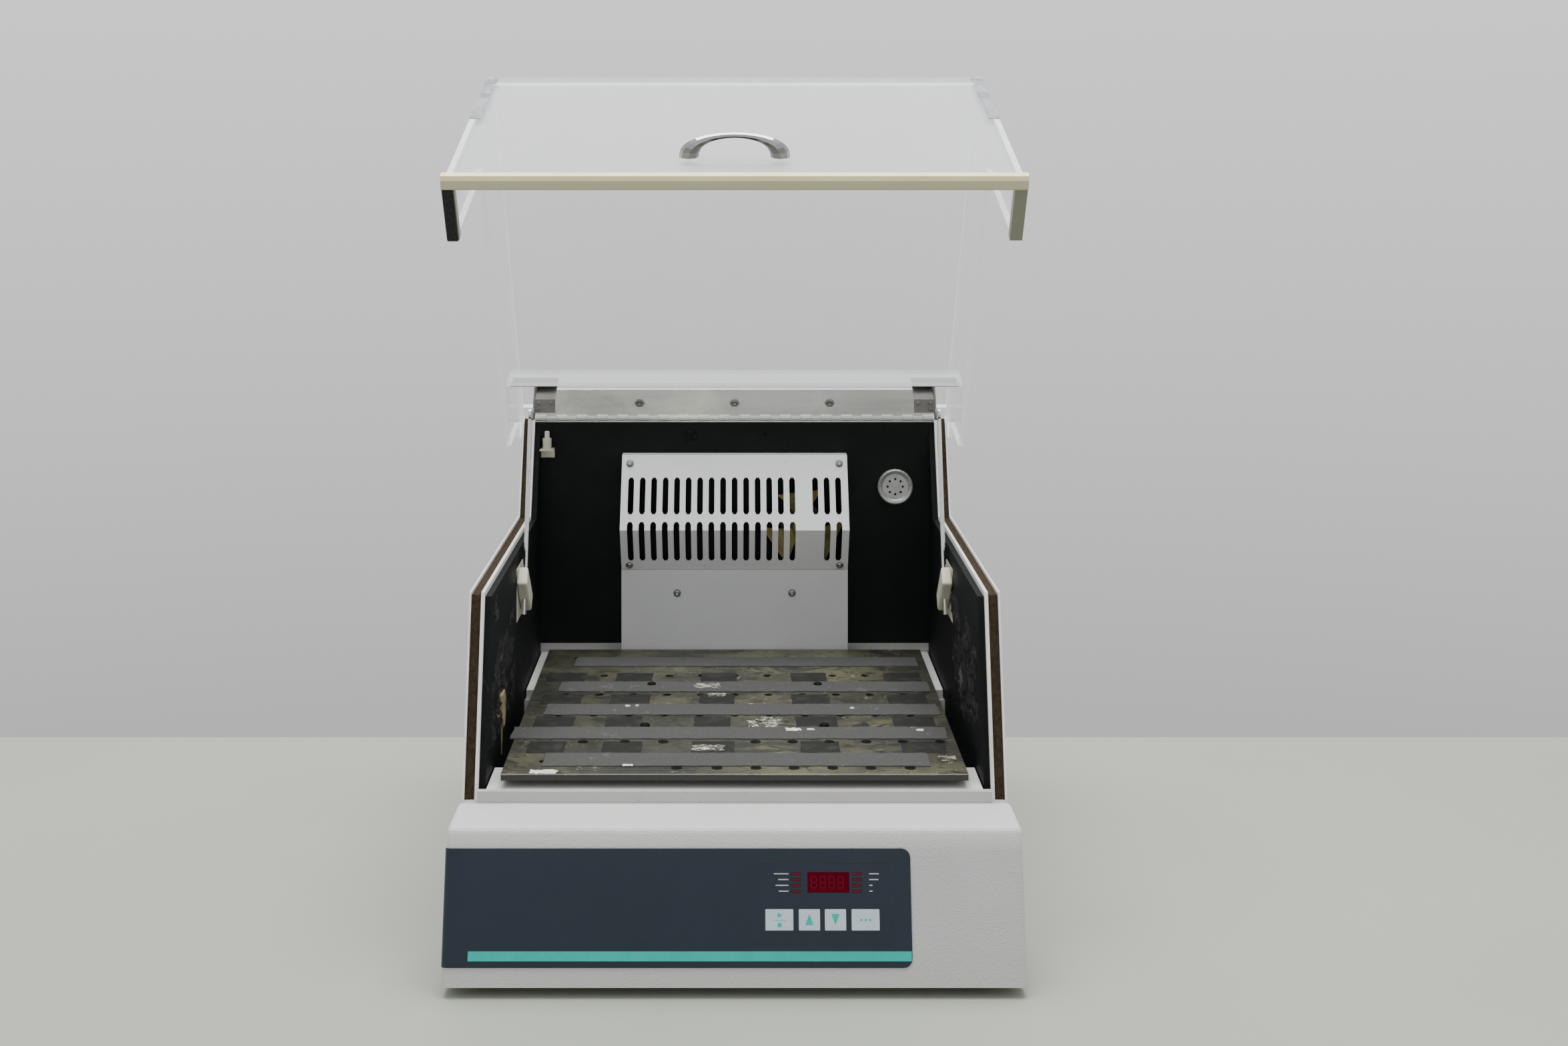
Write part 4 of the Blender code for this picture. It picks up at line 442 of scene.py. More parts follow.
def make_lid_looks():
    acrylic = add("acrylic", (0.88, 0.90, 0.91), 0.07, IOR=1.49)
    acrylic.paint(acrylic.step(acrylic.noise(60, 8, 0.7, (0.5, 3, 3)), 0.55, 0.85), (0.95, 0.96, 0.96))
    gleam = acrylic.node("ShaderNodeFresnel")
    gleam.inputs["IOR"].default_value = 1.40
    haze = acrylic.step(acrylic.noise(8, 7, 0.65), 0.35, 0.75, (0.02, 0.06))
    alpha = acrylic.math("ADD", haze, acrylic.math("MULTIPLY", gleam.outputs[0], 0.26), True)
    acrylic.tree.links.new(alpha, acrylic.shader.inputs["Alpha"])
    acrylic.bump(acrylic.noise(30, 4), 0.0004, 0.12)
    # cut edges: frosted white, and glowing faintly as painted light for the light caught in them
    cut_edge = add("acrylic_edge", (0.86, 0.90, 0.90), 0.35, Alpha=0.7, Emission_Strength=0.2)
    cut_edge.shader.inputs["Emission Color"].default_value = (0.92, 0.97, 1.0, 1)
    cut_edge.paint(cut_edge.step(cut_edge.noise(140, 6), 0.4, 0.7), (0.93, 0.96, 0.96))
    cut_edge.bump(cut_edge.noise(600, 4), 0.0003, 0.6)

    trim = add("trim_cream", (1.0, 0.87, 0.54), 0.42)
    trim.paint(trim.step(trim.noise(20, 5), 0.4, 0.8), (0.93, 0.79, 0.46))
    # painted shade: the trim darker below z 0.7492 and darkest below z 0.7405, for the shade on its
    # grooved lower profile
    trim.paint(trim.band("Z", 0.7502, 0.7492, 0.85), (0.42, 0.41, 0.29))
    trim.paint(trim.band("Z", 0.7425, 0.7405, 0.85), (0.13, 0.135, 0.10))
    wear(trim, (0.35, 0.30, 0.20), 0.4, 120)
    trim.bump(trim.noise(200, 3, stretch=(0.1, 1, 1)), 0.0002, 0.4)

    gasket = add("gasket_foam", (0.008, 0.008, 0.008), 0.95)
    gasket.paint(gasket.step(gasket.noise(420, 6), 0.45, 0.7), (0.024, 0.024, 0.024))
    gasket.bump(gasket.cells(900), 0.0012, 0.9)


def make_metals():
    for slot, tone, rough in (("handle_chrome", 0.40, 0.06), ("rod_chrome", 0.60, 0.14)):
        chrome = add(slot, (tone, tone, tone * 1.01), rough, 1.0)
        chrome.paint(chrome.step(chrome.noise(180, 8, 0.7), 0.60, 0.70), (0.24, 0.23, 0.20))
        # painted reflection: faces turned downwards darker, for the dark chamber seen in the chrome
        under = chrome.node("ShaderNodeSeparateXYZ")
        chrome.tree.links.new(chrome.node("ShaderNodeTexCoord").outputs["Normal"], under.inputs[0])
        chrome.paint(chrome.step(under.outputs["Z"], -0.10, -0.45, (0.0, 0.85)), (0.075, 0.075, 0.07))
        chrome.rough(chrome.noise(220, 6), rough * 0.6, rough * 2.2)

    metals = (
        ("sheet_steel", (0.50, 0.50, 0.49), 0.38, (1, 1, 1)),
        ("bracket_steel", (0.125, 0.12, 0.112), 0.42, (1, 1, 1)),
        ("hinge_alloy", (0.78, 0.785, 0.765), 0.30, (0.12, 1, 1)),
        ("bearing_steel", (0.52, 0.52, 0.52), 0.22, (1, 1, 1)),
        ("shaft_steel", (0.50, 0.50, 0.49), 0.30, (1, 1, 1)),
        ("pulley_alloy", (0.50, 0.50, 0.51), 0.35, (1, 1, 1)),
        ("carrier_alloy", (0.38, 0.38, 0.38), 0.45, (1, 1, 1)),
        ("heater_metal", (0.32, 0.24, 0.19), 0.45, (1, 1, 1)),
        ("screw_steel", (0.25, 0.245, 0.225), 0.30, (1, 1, 1)),
    )
    for slot, colour, rough, stretch in metals:
        metal = add(slot, colour, rough, 0.15 if slot in ("hinge_alloy", "bracket_steel") else 0.9)
        darker = tuple(c * 0.8 for c in colour)
        metal.paint(metal.step(metal.noise(55, 7, 0.65, stretch), 0.42, 0.72), darker)
        metal.paint(metal.step(metal.noise(240, 6, 0.7), 0.66, 0.72), tuple(c * 0.45 for c in colour))
        if slot == "hinge_alloy":
            # painted reflection: near-white cream patches for the light reflected in the hinge leaf
            bright = metal.step(metal.noise(7, 7, 0.7, (1, 0.6, 1), 0.5), 0.50, 0.66, (0.0, 0.85))
            metal.paint(bright, (1.0, 0.99, 0.88))
        metal.rough(metal.noise(140, 6, 0.6, stretch), rough * 0.7, rough * 1.6)
        metal.bump(metal.noise(900, 3, stretch=stretch), 0.00008, 0.5)

    for slot, colour in (("cast_housing", (0.33, 0.33, 0.34)), ("weight_iron", (0.10, 0.10, 0.11))):
        cast = add(slot, colour, 0.62, 0.6)
        cast.paint(cast.step(cast.noise(70, 7), 0.4, 0.7), tuple(c * 1.4 for c in colour))
        cast.bump(cast.noise(500, 5, 0.7), 0.0006, 0.7)


def make_rubbers():
    motor = add("motor_case", (0.035, 0.035, 0.038), 0.45, 0.2)
    motor.paint(motor.step(motor.noise(60, 6), 0.45, 0.75), (0.06, 0.06, 0.06))
    motor.bump(motor.noise(700, 4), 0.0002, 0.5)
    belt = add("belt_rubber", (0.02, 0.02, 0.02), 0.8)
    belt.paint(belt.step(belt.noise(120, 5), 0.4, 0.7), (0.04, 0.04, 0.04))
    belt.bump(belt.noise(700, 4), 0.0003, 0.6)
    feet = add("foot_rubber", (0.018, 0.018, 0.018), 0.75)
    feet.paint(feet.step(feet.noise(160, 5), 0.4, 0.7), (0.035, 0.034, 0.032))
    feet.bump(feet.noise(800, 4), 0.0003, 0.6)


def make_nylons():
    nylon = add("stay_nylon", (0.62, 0.605, 0.49), 0.42)
    nylon.paint(nylon.step(nylon.noise(60, 6), 0.42, 0.75), (0.56, 0.54, 0.41))
    wear(nylon, (0.30, 0.27, 0.20), 0.4, 220)
    nylon.bump(nylon.noise(600, 3), 0.00015, 0.5)
    switch = add("switch_nylon", (0.46, 0.44, 0.35), 0.42)
    switch.paint(switch.step(switch.noise(90, 6), 0.42, 0.75), (0.36, 0.34, 0.25))
    switch.bump(switch.noise(600, 3), 0.00015, 0.5)


def make_chamber_looks():
    # the grille's copy is lighter: partly its own paint, partly painted light for its lower face
    for slot, tone in (("duct_paint", 0.46), ("grille_paint_lit", 0.60)):
        duct = add(slot, (tone, tone * 1.015, tone * 1.02), 0.42)
        duct.paint(duct.step(duct.noise(10, 6), 0.4, 0.8), (tone * 1.08, tone * 1.1, tone * 1.1))
        wear(duct, (0.24, 0.22, 0.20), 0.5, 150)
        duct.bump(duct.noise(500, 3), 0.0001, 0.4)
        duct.rough(duct.noise(40), 0.34, 0.5)

    fan = add("fan_alloy", (0.22, 0.185, 0.045), 0.5, 0.3)
    fan.paint(fan.step(fan.noise(50, 7), 0.45, 0.7), (0.11, 0.092, 0.025))
    fan.bump(fan.noise(300, 4), 0.0002, 0.5)

    vent = add("vent_paint", (0.29, 0.29, 0.285), 0.3, 0.35)
    vent.paint(vent.step(vent.noise(120, 6), 0.45, 0.75), (0.36, 0.36, 0.355))
    vent.rough(vent.noise(160, 5), 0.22, 0.42)


def make_small_looks():
    clear = add("clear_plastic", (0.75, 0.76, 0.76), 0.15, Alpha=0.5)
    clear.paint(clear.step(clear.noise(200, 4), 0.4, 0.7), (0.85, 0.86, 0.86))
    clear.bump(clear.noise(400, 3), 0.0001, 0.4)

    black = add("inlet_black", (0.016, 0.016, 0.016), 0.42)
    black.paint(black.step(black.noise(120, 5), 0.45, 0.75), (0.03, 0.03, 0.03))
    black.bump(black.noise(900, 3), 0.0001, 0.5)
    lamp = add("lamp_red", (0.092, 0.0, 0.010), 0.45, Specular_IOR_Level=0.2)
    lamp.paint(lamp.step(lamp.noise(300, 3), 0.4, 0.7), (0.115, 0.0, 0.013))
    dull = add("dull_tape", (0.30, 0.315, 0.33), 0.6)
    dull.paint(dull.step(dull.noise(38, 8, 0.7), 0.45, 0.62), (0.17, 0.18, 0.19))
    dull.bump(dull.noise(90, 6), 0.0006, 0.7)
    glue = add("old_glue", (0.34, 0.285, 0.150), 0.35)
    glue.paint(glue.step(glue.noise(180, 6), 0.45, 0.7), (0.20, 0.165, 0.085))
    glue.bump(glue.noise(400, 5), 0.0006, 0.8)


def piece(name, bm, look, body, smooth=False, place=None):
    """Adds a mesh piece to the scene, riding on a body of the frame."""
    bmesh.ops.recalc_face_normals(bm, faces=bm.faces)
    if place:
        bm.transform(place)
    mesh = bpy.data.meshes.new(name)
    bm.to_mesh(mesh)
    bm.free()
    if smooth:
        mesh.shade_smooth()
    obj = bpy.data.objects.new(name, mesh)
    bpy.context.scene.collection.objects.link(obj)
    mesh.materials.append(looks[look])
    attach(obj, body)


def add_slab(bm, outline, low, high):
    """A closed prism over an outline of (x, y) points."""
    bottom = [bm.verts.new((x, y, low)) for x, y in outline]
    top = [bm.verts.new((x, y, high)) for x, y in outline]
    close_prism(bm, bottom, top)


def close_prism(bm, bottom, top):
    bm.faces.new(bottom)
    bm.faces.new(top)
    for i in range(len(bottom)):
        j = (i + 1) % len(bottom)
        bm.faces.new((bottom[i], bottom[j], top[j], top[i]))


def rectangle(left, low, right, high, corner=0.0, steps=4):
    """A rectangle's outline, with round corners if they have a radius."""
    if corner == 0.0:
        return [(left, low), (right, low), (right, high), (left, high)]
    spots = ((right - corner, high - corner, 0), (left + corner, high - corner, 90),
             (left + corner, low + corner, 180), (right - corner, low + corner, 270))
    outline = []
    for x, y, start in spots:
        for i in range(steps + 1):
            turn = radians(start + 90 * i / steps)
            outline.append((x + corner * cos(turn), y + corner * sin(turn)))
    return outline


def add_film(bm, outline, film, base=LABEL_TOP):
    """A thin slab just above a surface, such as ink on the label."""
    add_slab(bm, outline, base + film[0], base + film[1])


def add_frame(bm, outer, inner, low, high):
    """A closed ring between two outlines with the same number of points."""
    rows = [[bm.verts.new((x, y, z)) for x, y in outline]
            for outline, z in ((outer, low), (outer, high), (inner, high), (inner, low))]
    for a, b in zip(rows, rows[1:] + rows[:1]):
        for i in range(len(a)):
            j = (i + 1) % len(a)
            bm.faces.new((a[i], a[j], b[j], b[i]))


def ragged(left, low, right, high, step, amount, rng):
    """A rectangle's outline with torn edges."""
    outline = []
    for (x0, y0), (x1, y1) in (((left, low), (right, low)), ((right, low), (right, high)),
                               ((right, high), (left, high)), ((left, high), (left, low))):
        count = max(2, int(max(abs(x1 - x0), abs(y1 - y0)) / step))
        for i in range(count):
            f = i / count
            x = x0 + (x1 - x0) * f + rng.uniform(-amount, amount)
            y = y0 + (y1 - y0) * f + rng.uniform(-amount, amount)
            outline.append((x, y))
    return outline


def dress_nodes():
    """Gives every CAD node the look of its material slot, or the one named for the node."""
    for row in frame["record"]["subparts"]:
        obj = frame["nodes"][row["node"]]
        look = NODE_LOOKS.get(row["node"], row["material_slot"])
        obj.data.materials.clear()
        obj.data.materials.append(looks[look])
        if look == "acrylic":
            light_cut_edges(obj.data)


def light_cut_edges(mesh):
    """Gives a clear sheet's cut edges a look of their own: frosted white, with a faint glow that is
    painted light.
    """
    broad = max(mesh.polygons, key=lambda face: face.area).normal.copy()
    mesh.materials.append(looks["acrylic_edge"])
    for face in mesh.polygons:
        face.material_index = int(abs(face.normal.dot(broad)) < 0.7)


def make_panel():
    """Printed marks, lamps, key signs and digits of the control face."""
    bm = bmesh.new()
    add_film(bm, rectangle(*STRIPE), STRIPE_INK)
    piece("label_stripe", bm, "teal_print", "root", place=FACE)
    bm = bmesh.new()
    left, low, right, high = OUTLINE
    inset = OUTLINE_WIDTH
    outer = rectangle(left, low, right, high, OUTLINE_CORNER)
    inner = rectangle(left + inset, low + inset, right - inset, high - inset, OUTLINE_CORNER - inset)
    add_frame(bm, outer, inner, LABEL_TOP + LINE_INK[0], LABEL_TOP + LINE_INK[1])
    piece("control_outline", bm, "inlet_black", "root", place=FACE)
    bm = bmesh.new()
    for left in LAMP_LEFTS:
        for i in range(4):
            low = LAMP_LOW + LAMP_PITCH * i
            lamp = rectangle(left, low, left + LAMP_SIZE[0], low + LAMP_SIZE[1], 0.0003, 2)
            add_film(bm, lamp, LAMP_INK)
    piece("lamp_faces", bm, "lamp_red", "root", place=FACE)
    bm = bmesh.new()
    for i, length in enumerate((0.0135, 0.0095, 0.0120, 0.0090)):
        low = BAR_LOW + LAMP_PITCH * (3 - i)
        bar = rectangle(LEFT_BARS_END - length, low, LEFT_BARS_END, low + BAR_HEIGHT)
        add_film(bm, bar, MARK_INK)
    for i, length in enumerate((0.0090, 0.0085, 0.0030, 0.0030)):
        low = BAR_LOW + LAMP_PITCH * (3 - i)
        bar = rectangle(RIGHT_BARS_START, low, RIGHT_BARS_START + length, low + BAR_HEIGHT)
        add_film(bm, bar, MARK_INK)
    piece("lamp_marks", bm, "white_print", "root", place=FACE)
    make_key_marks()
    bm = bmesh.new()
    for i in range(4):
        x, y = DIGIT_CORNER[0] + DIGIT_PITCH * i, DIGIT_CORNER[1]
        for left, low, right, high in SEGMENTS:
            add_film(bm, rectangle(x + left, y + low, x + right, y + high), DIGIT_INK)
    piece("display_digits", bm, "lamp_red", "root", place=FACE)


def make_key_marks():
    """Plain signs on the keys, each riding on its own key."""
    dots = (0.1161, 0.1201, 0.1241)
    signs = {
        "start": (
            rectangle(0.0354, 0.0580, 0.0474, 0.0583),
            ((0.0398, 0.0602), (0.0440, 0.0624), (0.0398, 0.0646)),
            rectangle(0.0397, 0.0522, 0.0433, 0.0558),
        ),
        "up": (((0.0653, 0.0540), (0.0729, 0.0540), (0.0691, 0.0636)),),
        "down": (((0.0894, 0.0636), (0.0932, 0.0540), (0.0970, 0.0636)),),
        "select": [rectangle(x, 0.0574, x + 0.0020, 0.0594, 0.0009, 3) for x in dots],
    }
    for name, outlines in signs.items():
        bm = bmesh.new()
        for outline in outlines:
            add_film(bm, outline, MARK_INK, KEY_TOP)
        piece("key_%s_mark" % name, bm, "teal_print", "key_" + name, place=FACE)


def make_platform_dress():
    """Torn grip tape and the dark marks it left, spots, paper, screws, and painted shade in holes."""
    rng = random.Random(7)
    front_y = PLATE_CENTRE.y - PLATE_HALF
    bm = bmesh.new()
    for centre, left, right in TAPES:
        y = front_y + centre
        strip = ragged(left - TAPE_LAP, y - TAPE_HALF, right + TAPE_LAP, y + TAPE_HALF,
                       0.006, 0.0009, rng)
        add_slab(bm, strip, PLATE_CENTRE.z + 0.0001, STRIP_TOP)
    piece("grip_tape_strips", bm, "grip_tape", "platform")
    bm = bmesh.new()
    for centre, _, _ in TAPES:
        y = front_y + centre + RESIDUE_BEHIND
        low, high = y - RESIDUE_HALF_DEPTH, y + RESIDUE_HALF_DEPTH
        for x in RESIDUE_PLACES:
            x += rng.uniform(-0.003, 0.003)
            half = RESIDUE_HALF_WIDTH + rng.uniform(-0.002, 0.002)
            if high < PLATE_CENTRE.y + PLATE_HALF:
                mark = ragged(x - half, low, x + half, high, 0.005, 0.0006, rng)
                add_film(bm, mark, RESIDUE_FILM, PLATE_CENTRE.z)
    piece("tape_residue_marks", bm, "tape_residue", "platform")
    for name, look, marks in (
        ("platform_spots", "pale_residue", PALE_MARKS),
        ("paper_scraps", "torn_paper", PAPER_MARKS),
    ):
        bm = bmesh.new()
        for left, right, low, high, on_tape in marks:
            base = STRIP_TOP if on_tape else PLATE_CENTRE.z
            step = (right - left) / 9
            mark = ragged(left, low, right, high, step, (high - low) * 0.17, rng)
            add_film(bm, mark, SPOT_FILM, base)
        piece(name, bm, look, "platform")
    bm = bmesh.new()
    for x in (-PLATE_SCREW_X, PLATE_SCREW_X):
        for y in (-PLATE_SCREW_Y, PLATE_SCREW_Y):
            spot = Matrix.Translation((x, PLATE_CENTRE.y + y, PLATE_CENTRE.z))
            add_screw(bm, spot, *PLATE_SCREW)
    piece("platform_screws", bm, "dark_screw_and_hole_shade", "platform", True)
    bm = bmesh.new()
    # painted shade: dark discs over the holes, for the dark inside of each hole
    for y, places in HOLE_MARKS:
        for x in places:
            spot = Matrix.Translation((x, y, PLATE_CENTRE.z))
            add_turned(bm, spot, ((0.0056, 0.00002), (0.0054, 0.00025)), 16)
    piece("hole_marks", bm, "dark_screw_and_hole_shade", "platform")


def add_screw(bm, place, radius, height):
    """A domed screw head with a recess."""
    profile = ((radius, 0.0), (radius, height * 0.35), (radius * 0.82, height * 0.8),
               (radius * 0.5, height), (radius * 0.22, height), (radius * 0.14, height * 0.55))
    add_turned(bm, place, profile, 16)


def make_screws():
    """Hexagon nuts on the hinge, pan heads on the duct and grille, and dark discs painted as the shade in
    the vent's small holes.
    """
    bm = bmesh.new()
    nut = ((0.0060, 0.0), (0.0060, 0.0022), (0.0052, 0.0030), (0.0038, 0.0031))
    thread = ((0.0030, 0.0016), (0.0030, 0.0048), (0.0022, 0.0056))
    for i in range(-2, 3):
        spot = LID @ Matrix.Translation((HINGE_NUT_PITCH * i, HINGE_NUT_ROW, LEAF_TOP))
        spot = spot @ Matrix.Rotation(pi, 4, "X")
        add_turned(bm, spot, nut, 6)
        add_turned(bm, spot, thread, 14)
    piece("hinge_screws", bm, "screw_steel", "lid")
    bm = bmesh.new()
    for x, y, z, facing in DUCT_SCREWS:
        for side in (-1, 1):
            add_screw(bm, aimed((side * x, y, z), facing), *PAN_HEAD)
    piece("duct_screws", bm, "screw_steel", "root", True)
    bm = bmesh.new()
    # painted shade: dark discs at the vent's holes, for the dark inside of each hole
    for i in range(8):
        turn = radians(45 * i)
        place = VENT + VENT_RING * Vector((cos(turn), 0, sin(turn)))
        add_turned(bm, aimed(place, (0, -1, 0)), ((0.0015, 0.0), (0.0014, 0.00025)), 12)
    piece("vent_dots", bm, "dark_screw_and_hole_shade", "root")


def make_shell_screws():
    """Low pan heads round the edge of the back panel."""
    bm = bmesh.new()
    spots = [(x, z) for x in SHELL_COLUMNS for z in SHELL_ROWS]
    spots += [(x, SHELL_MIDDLE) for x in (SHELL_COLUMNS[0], SHELL_COLUMNS[-1])]
    for x, z in spots:
        add_screw(bm, aimed((x, SHELL_BACK, z), (0, 1, 0)), *SHELL_HEAD)
    piece("shell_screws", bm, "screw_steel", "root", True)


def aimed(place, normal):
    """A frame at a place whose Z axis follows a normal."""
    return Matrix.Translation(place) @ Vector(normal).to_track_quat("Z", "Y").to_matrix().to_4x4()


def add_turned(bm, place, profile, sides):
    """A closed turned solid from (radius, height) points."""
    turns = [2 * pi * k / sides for k in range(sides)]
    rings = [[bm.verts.new(place @ Vector((r * cos(turn), r * sin(turn), h))) for turn in turns]
             for r, h in profile]
    for a, b in zip(rings, rings[1:]):
        for k in range(sides):
            m = (k + 1) % sides
            bm.faces.new((a[k], a[m], b[m], b[k]))
    bm.faces.new(rings[0])
    bm.faces.new(rings[-1])


def make_feet():
    """Rubber feet over the plain ones in the base pan."""
    profile = ((0.0135, 0.0), (0.0152, 0.0012), (0.0154, 0.0085), (0.0148, 0.0104))
    for i, (x, y) in enumerate(FOOT_PLACES, 1):
        bm = bmesh.new()
        add_turned(bm, Matrix.Translation((x, y, 0)), profile, 28)
        piece("foot_%d" % i, bm, "foot_rubber", "root", True)


def make_lid_dress():
    """Old tape on the two upright edges of the lid's front panel, torn along its inner side."""
    rng = random.Random(11)
    low, high, steps = 0.175, 0.312, 18
    outer, inner = 0.2727, 0.2625
    under, over = 0.0002, 0.0007
    rows = [low + (high - low) * i / steps for i in range(steps + 1)]
    for side, name in ((-1, "left"), (1, "right")):
        bm = bmesh.new()
        points = [(side * (inner - rng.uniform(0, 0.003)), t) for t in rows]
        points += [(side * outer, t) for t in reversed(rows)]
        bottom = [bm.verts.new(panel_point(x, under, t)) for x, t in points]
        top = [bm.verts.new(panel_point(x, over, t)) for x, t in points]
        close_prism(bm, bottom, top)
        piece("edge_tape_" + name, bm, "dull_tape", "lid", place=LID)


def panel_point(x, n, t):
    """A point near the lid's front panel, in the lid's frame."""
    u, v = front_line(n, t)
    return (x, -u, v)


def make_torn(name, corner, across, size, seed, reach, lean=0.0):
    """A crumpled patch of foam on a liner: its low parts sink below the liner's face."""
    up = Vector((0, 0, 1))
    out = Vector(across).cross(up)
    columns, rows = (max(6, int(length / TORN_CELL)) for length in size)
    rng = random.Random(seed)
    bm = bmesh.new()
    grid = []
    for j in range(rows + 1):
        line = []
        for i in range(columns + 1):
            a, b = i / columns, j / rows
            border = max(abs(2 * a - 1), abs(2 * b - 1)) ** 5
            spot = Vector((a * size[0] * 26, b * size[1] * 34, seed))
            lumps = noise.fractal(spot, 0.5, 2.2, 5) + 0.35 * noise.noise(spot * 4)
            height = min(1.0, max(-0.3, 1.6 * lumps + 0.20 - 1.1 * border)) * reach
            edge = i in (0, columns) or j in (0, rows)
            shift = 0.0 if edge else TORN_SHIFT
            place = Vector(corner) + Vector(across) * (a * size[0] + rng.uniform(-shift, shift))
            place += up * (b * size[1] + rng.uniform(-shift, shift))
            place += out * (-TORN_SINK if edge else height)
            place.y += lean * b * size[1]
            line.append(bm.verts.new(place))
        grid.append(line)
    for j in range(rows):
        for i in range(columns):
            bm.faces.new((grid[j][i], grid[j][i + 1], grid[j + 1][i + 1], grid[j + 1][i]))
    far = [line[-1] for line in grid[1:]]
    near = [line[0] for line in grid[-2:0:-1]]
    bm.faces.new(grid[0] + far + grid[-1][-2::-1] + near)
    piece(name, bm, "torn_foam", "root")


def make_liner_damage():
    """Torn foam at the front of both side liners and high on the rear one, with old glue."""
    x = SIDE_LINER
    lean = tan(FACE_LEAN)
    make_torn("torn_liner_left", (-x, -0.174, 0.176), (0, 1, 0), (0.195, 0.104), 3, 0.0031, lean)
    make_torn("torn_liner_right", (x, 0.046, 0.176), (0, -1, 0), (0.220, 0.120), 8, 0.0031, lean)
    make_torn("torn_spot_left", (-x, -0.146, 0.298), (0, 1, 0), (0.028, 0.030), 5, 0.0030, lean)
    make_torn("torn_flake_left", (-0.062, REAR_LINER, 0.414), (1, 0, 0), (0.017, 0.023), 12, 0.0035)
    make_torn("torn_flake_right", (0.018, REAR_LINER, 0.417), (1, 0, 0), (0.030, 0.017), 14, 0.0035)
    rng = random.Random(21)
    turn = Matrix(((0, 0, 1, -x - 0.0002), (1, 0, 0, 0), (0, 1, 0, 0), (0, 0, 0, 1)))
    bm = bmesh.new()
    upper = [(-0.094, 0.214), (-0.078, 0.216), (-0.066, 0.205), (-0.070, 0.190), (-0.074, 0.179),
             (-0.087, 0.179), (-0.096, 0.192)]
    lower = [(-0.072, 0.184), (-0.075, 0.166), (-0.079, 0.150), (-0.084, 0.150),
             (-0.085, 0.168), (-0.088, 0.184)]
    for outline, high in ((upper, 0.0032), (lower, 0.0005)):
        outline = [(a + rng.uniform(-0.0015, 0.0015), b) for a, b in outline]
        add_slab(bm, outline, 0.0, high)
    piece("glue_drip", bm, "old_glue", "root", place=turn)


def make_clips():
    """Folded clip with three screws beside the lug of each stay bracket."""
    section = [(0.1234, 0.4795), (0.1246, 0.4795), (0.1246, 0.4944),
               (0.1500, 0.5072), (0.1494, 0.5084), (0.1234, 0.4952)]
    for side, name in ((-1, "left"), (1, "right")):
        turn = Matrix(((0, 0, side, 0), (1, 0, 0, 0), (0, 1, 0, 0), (0, 0, 0, 1)))
        bm = bmesh.new()
        add_slab(bm, section, *CLIP_ENDS)
        bm.transform(turn)
        for x, z in ((0.2130, 0.4905), (0.2275, 0.4905), (0.2275, 0.4838)):
            add_screw(bm, aimed((side * x, CLIP_FACE, z), (0, -1, 0)), *CLIP_HEAD)
        piece("stay_clip_" + name, bm, "bracket_steel", "lid")


def make_stage():
    """A plain bench top under the part."""
    mesh = bpy.data.meshes.new("bench")
    mesh.from_pydata([(-6, -6, 0), (6, -6, 0), (6, 0.448, 0), (-6, 0.448, 0)], [], [(0, 1, 2, 3)])
    bench = bpy.data.objects.new("bench", mesh)
    bpy.context.scene.collection.objects.link(bench)
    look = Look("bench", (0.344, 0.364, 0.312), 0.55)
    look.paint(look.step(look.noise(2.2, 7), 0.35, 0.75), (0.373, 0.394, 0.340))
    look.paint(look.step(look.noise(60, 4), 0.45, 0.8), (0.361, 0.378, 0.325))
    look.bump(look.noise(500, 2), 0.0001, 0.3)
    mesh.materials.append(look.mat)


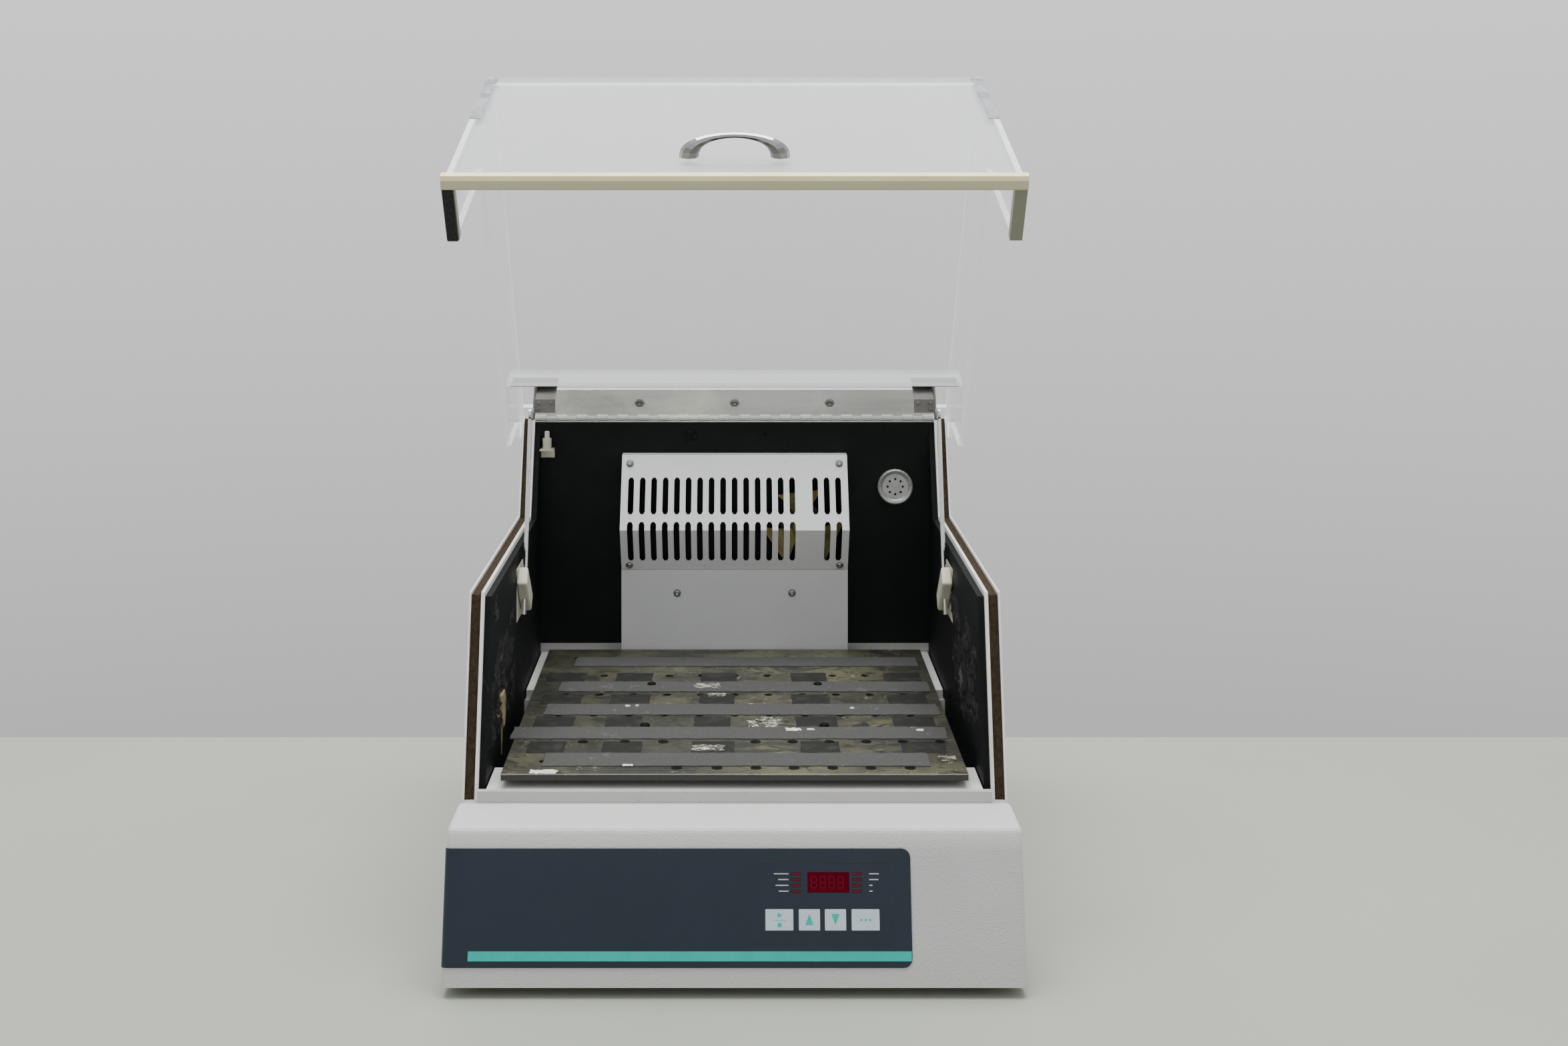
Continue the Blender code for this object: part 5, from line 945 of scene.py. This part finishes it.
def make_light():
    """A plain pale world, brighter at eye level than below, and soft area lights."""
    world = bpy.data.worlds.new("studio")
    bpy.context.scene.world = world
    world.use_nodes = True
    tree = world.node_tree
    split = tree.nodes.new("ShaderNodeSeparateXYZ")
    tree.links.new(tree.nodes.new("ShaderNodeTexCoord").outputs["Generated"], split.inputs[0])
    rise = tree.nodes.new("ShaderNodeMapRange")
    for key, value in (("From Min", -0.30), ("From Max", 1.0)):
        rise.inputs[key].default_value = value
    tree.links.new(split.outputs["Z"], rise.inputs["Value"])
    ramp = tree.nodes.new("ShaderNodeValToRGB")
    ramp.color_ramp.elements.new(0.58)
    tones = ((0.015, 0.60), (0.31, 1.06), (0.62, 0.92))
    for stop, (place, tone) in zip(ramp.color_ramp.elements, tones):
        stop.position = place
        stop.color = (tone, tone * 0.997, tone, 1)
    tree.links.new(rise.outputs["Result"], ramp.inputs["Fac"])
    tree.links.new(ramp.outputs["Color"], tree.nodes["Background"].inputs[0])
    for name, place, size, power, spread, aim in (
        ("key", (-1.6, -2.4, 3.0), (2.4, 1.6), 8, 180, (0, 0, 0.3)),
        ("fill", (2.2, -1.6, 2.4), (2.0, 2.0), 5, 180, (0, 0, 0.3)),
        ("top", (0.0, 0.2, 3.2), (3.0, 2.0), 165, 180, (0, 0, 0)),
        ("chamber", (0.0, -2.2, 0.42), (0.5, 0.25), 0.07, 16, (0, 0.25, 0.34)),
    ):
        light = bpy.data.lights.new(name, "AREA")
        light.shape = "RECTANGLE"
        light.size, light.size_y = size
        light.energy = power
        light.spread = radians(spread)
        obj = bpy.data.objects.new(name, light)
        obj.location = place
        obj.rotation_euler = (Vector(aim) - Vector(place)).to_track_quat("-Z", "Y").to_euler()
        bpy.context.scene.collection.objects.link(obj)


def make_camera():
    """The photograph's camera: level, in front of the part, shifted down."""
    data = bpy.data.cameras.new("photo")
    data.sensor_width = 36
    data.lens = 40.73
    data.shift_x = 0.0315
    data.shift_y = -0.2204
    camera = bpy.data.objects.new("photo", data)
    camera.location = (0, -1.938, 0.753)
    camera.rotation_euler = (pi / 2, 0, 0)
    bpy.context.scene.collection.objects.link(camera)
    bpy.context.scene.camera = camera


make_paints()
make_foams()
make_films()
make_plate_looks()
make_lid_looks()
make_metals()
make_rubbers()
make_nylons()
make_chamber_looks()
make_small_looks()
make_camera()
make_stage()
make_light()
dress_nodes()
make_panel()
make_platform_dress()
make_screws()
make_shell_screws()
make_feet()
make_lid_dress()
make_liner_damage()
make_clips()
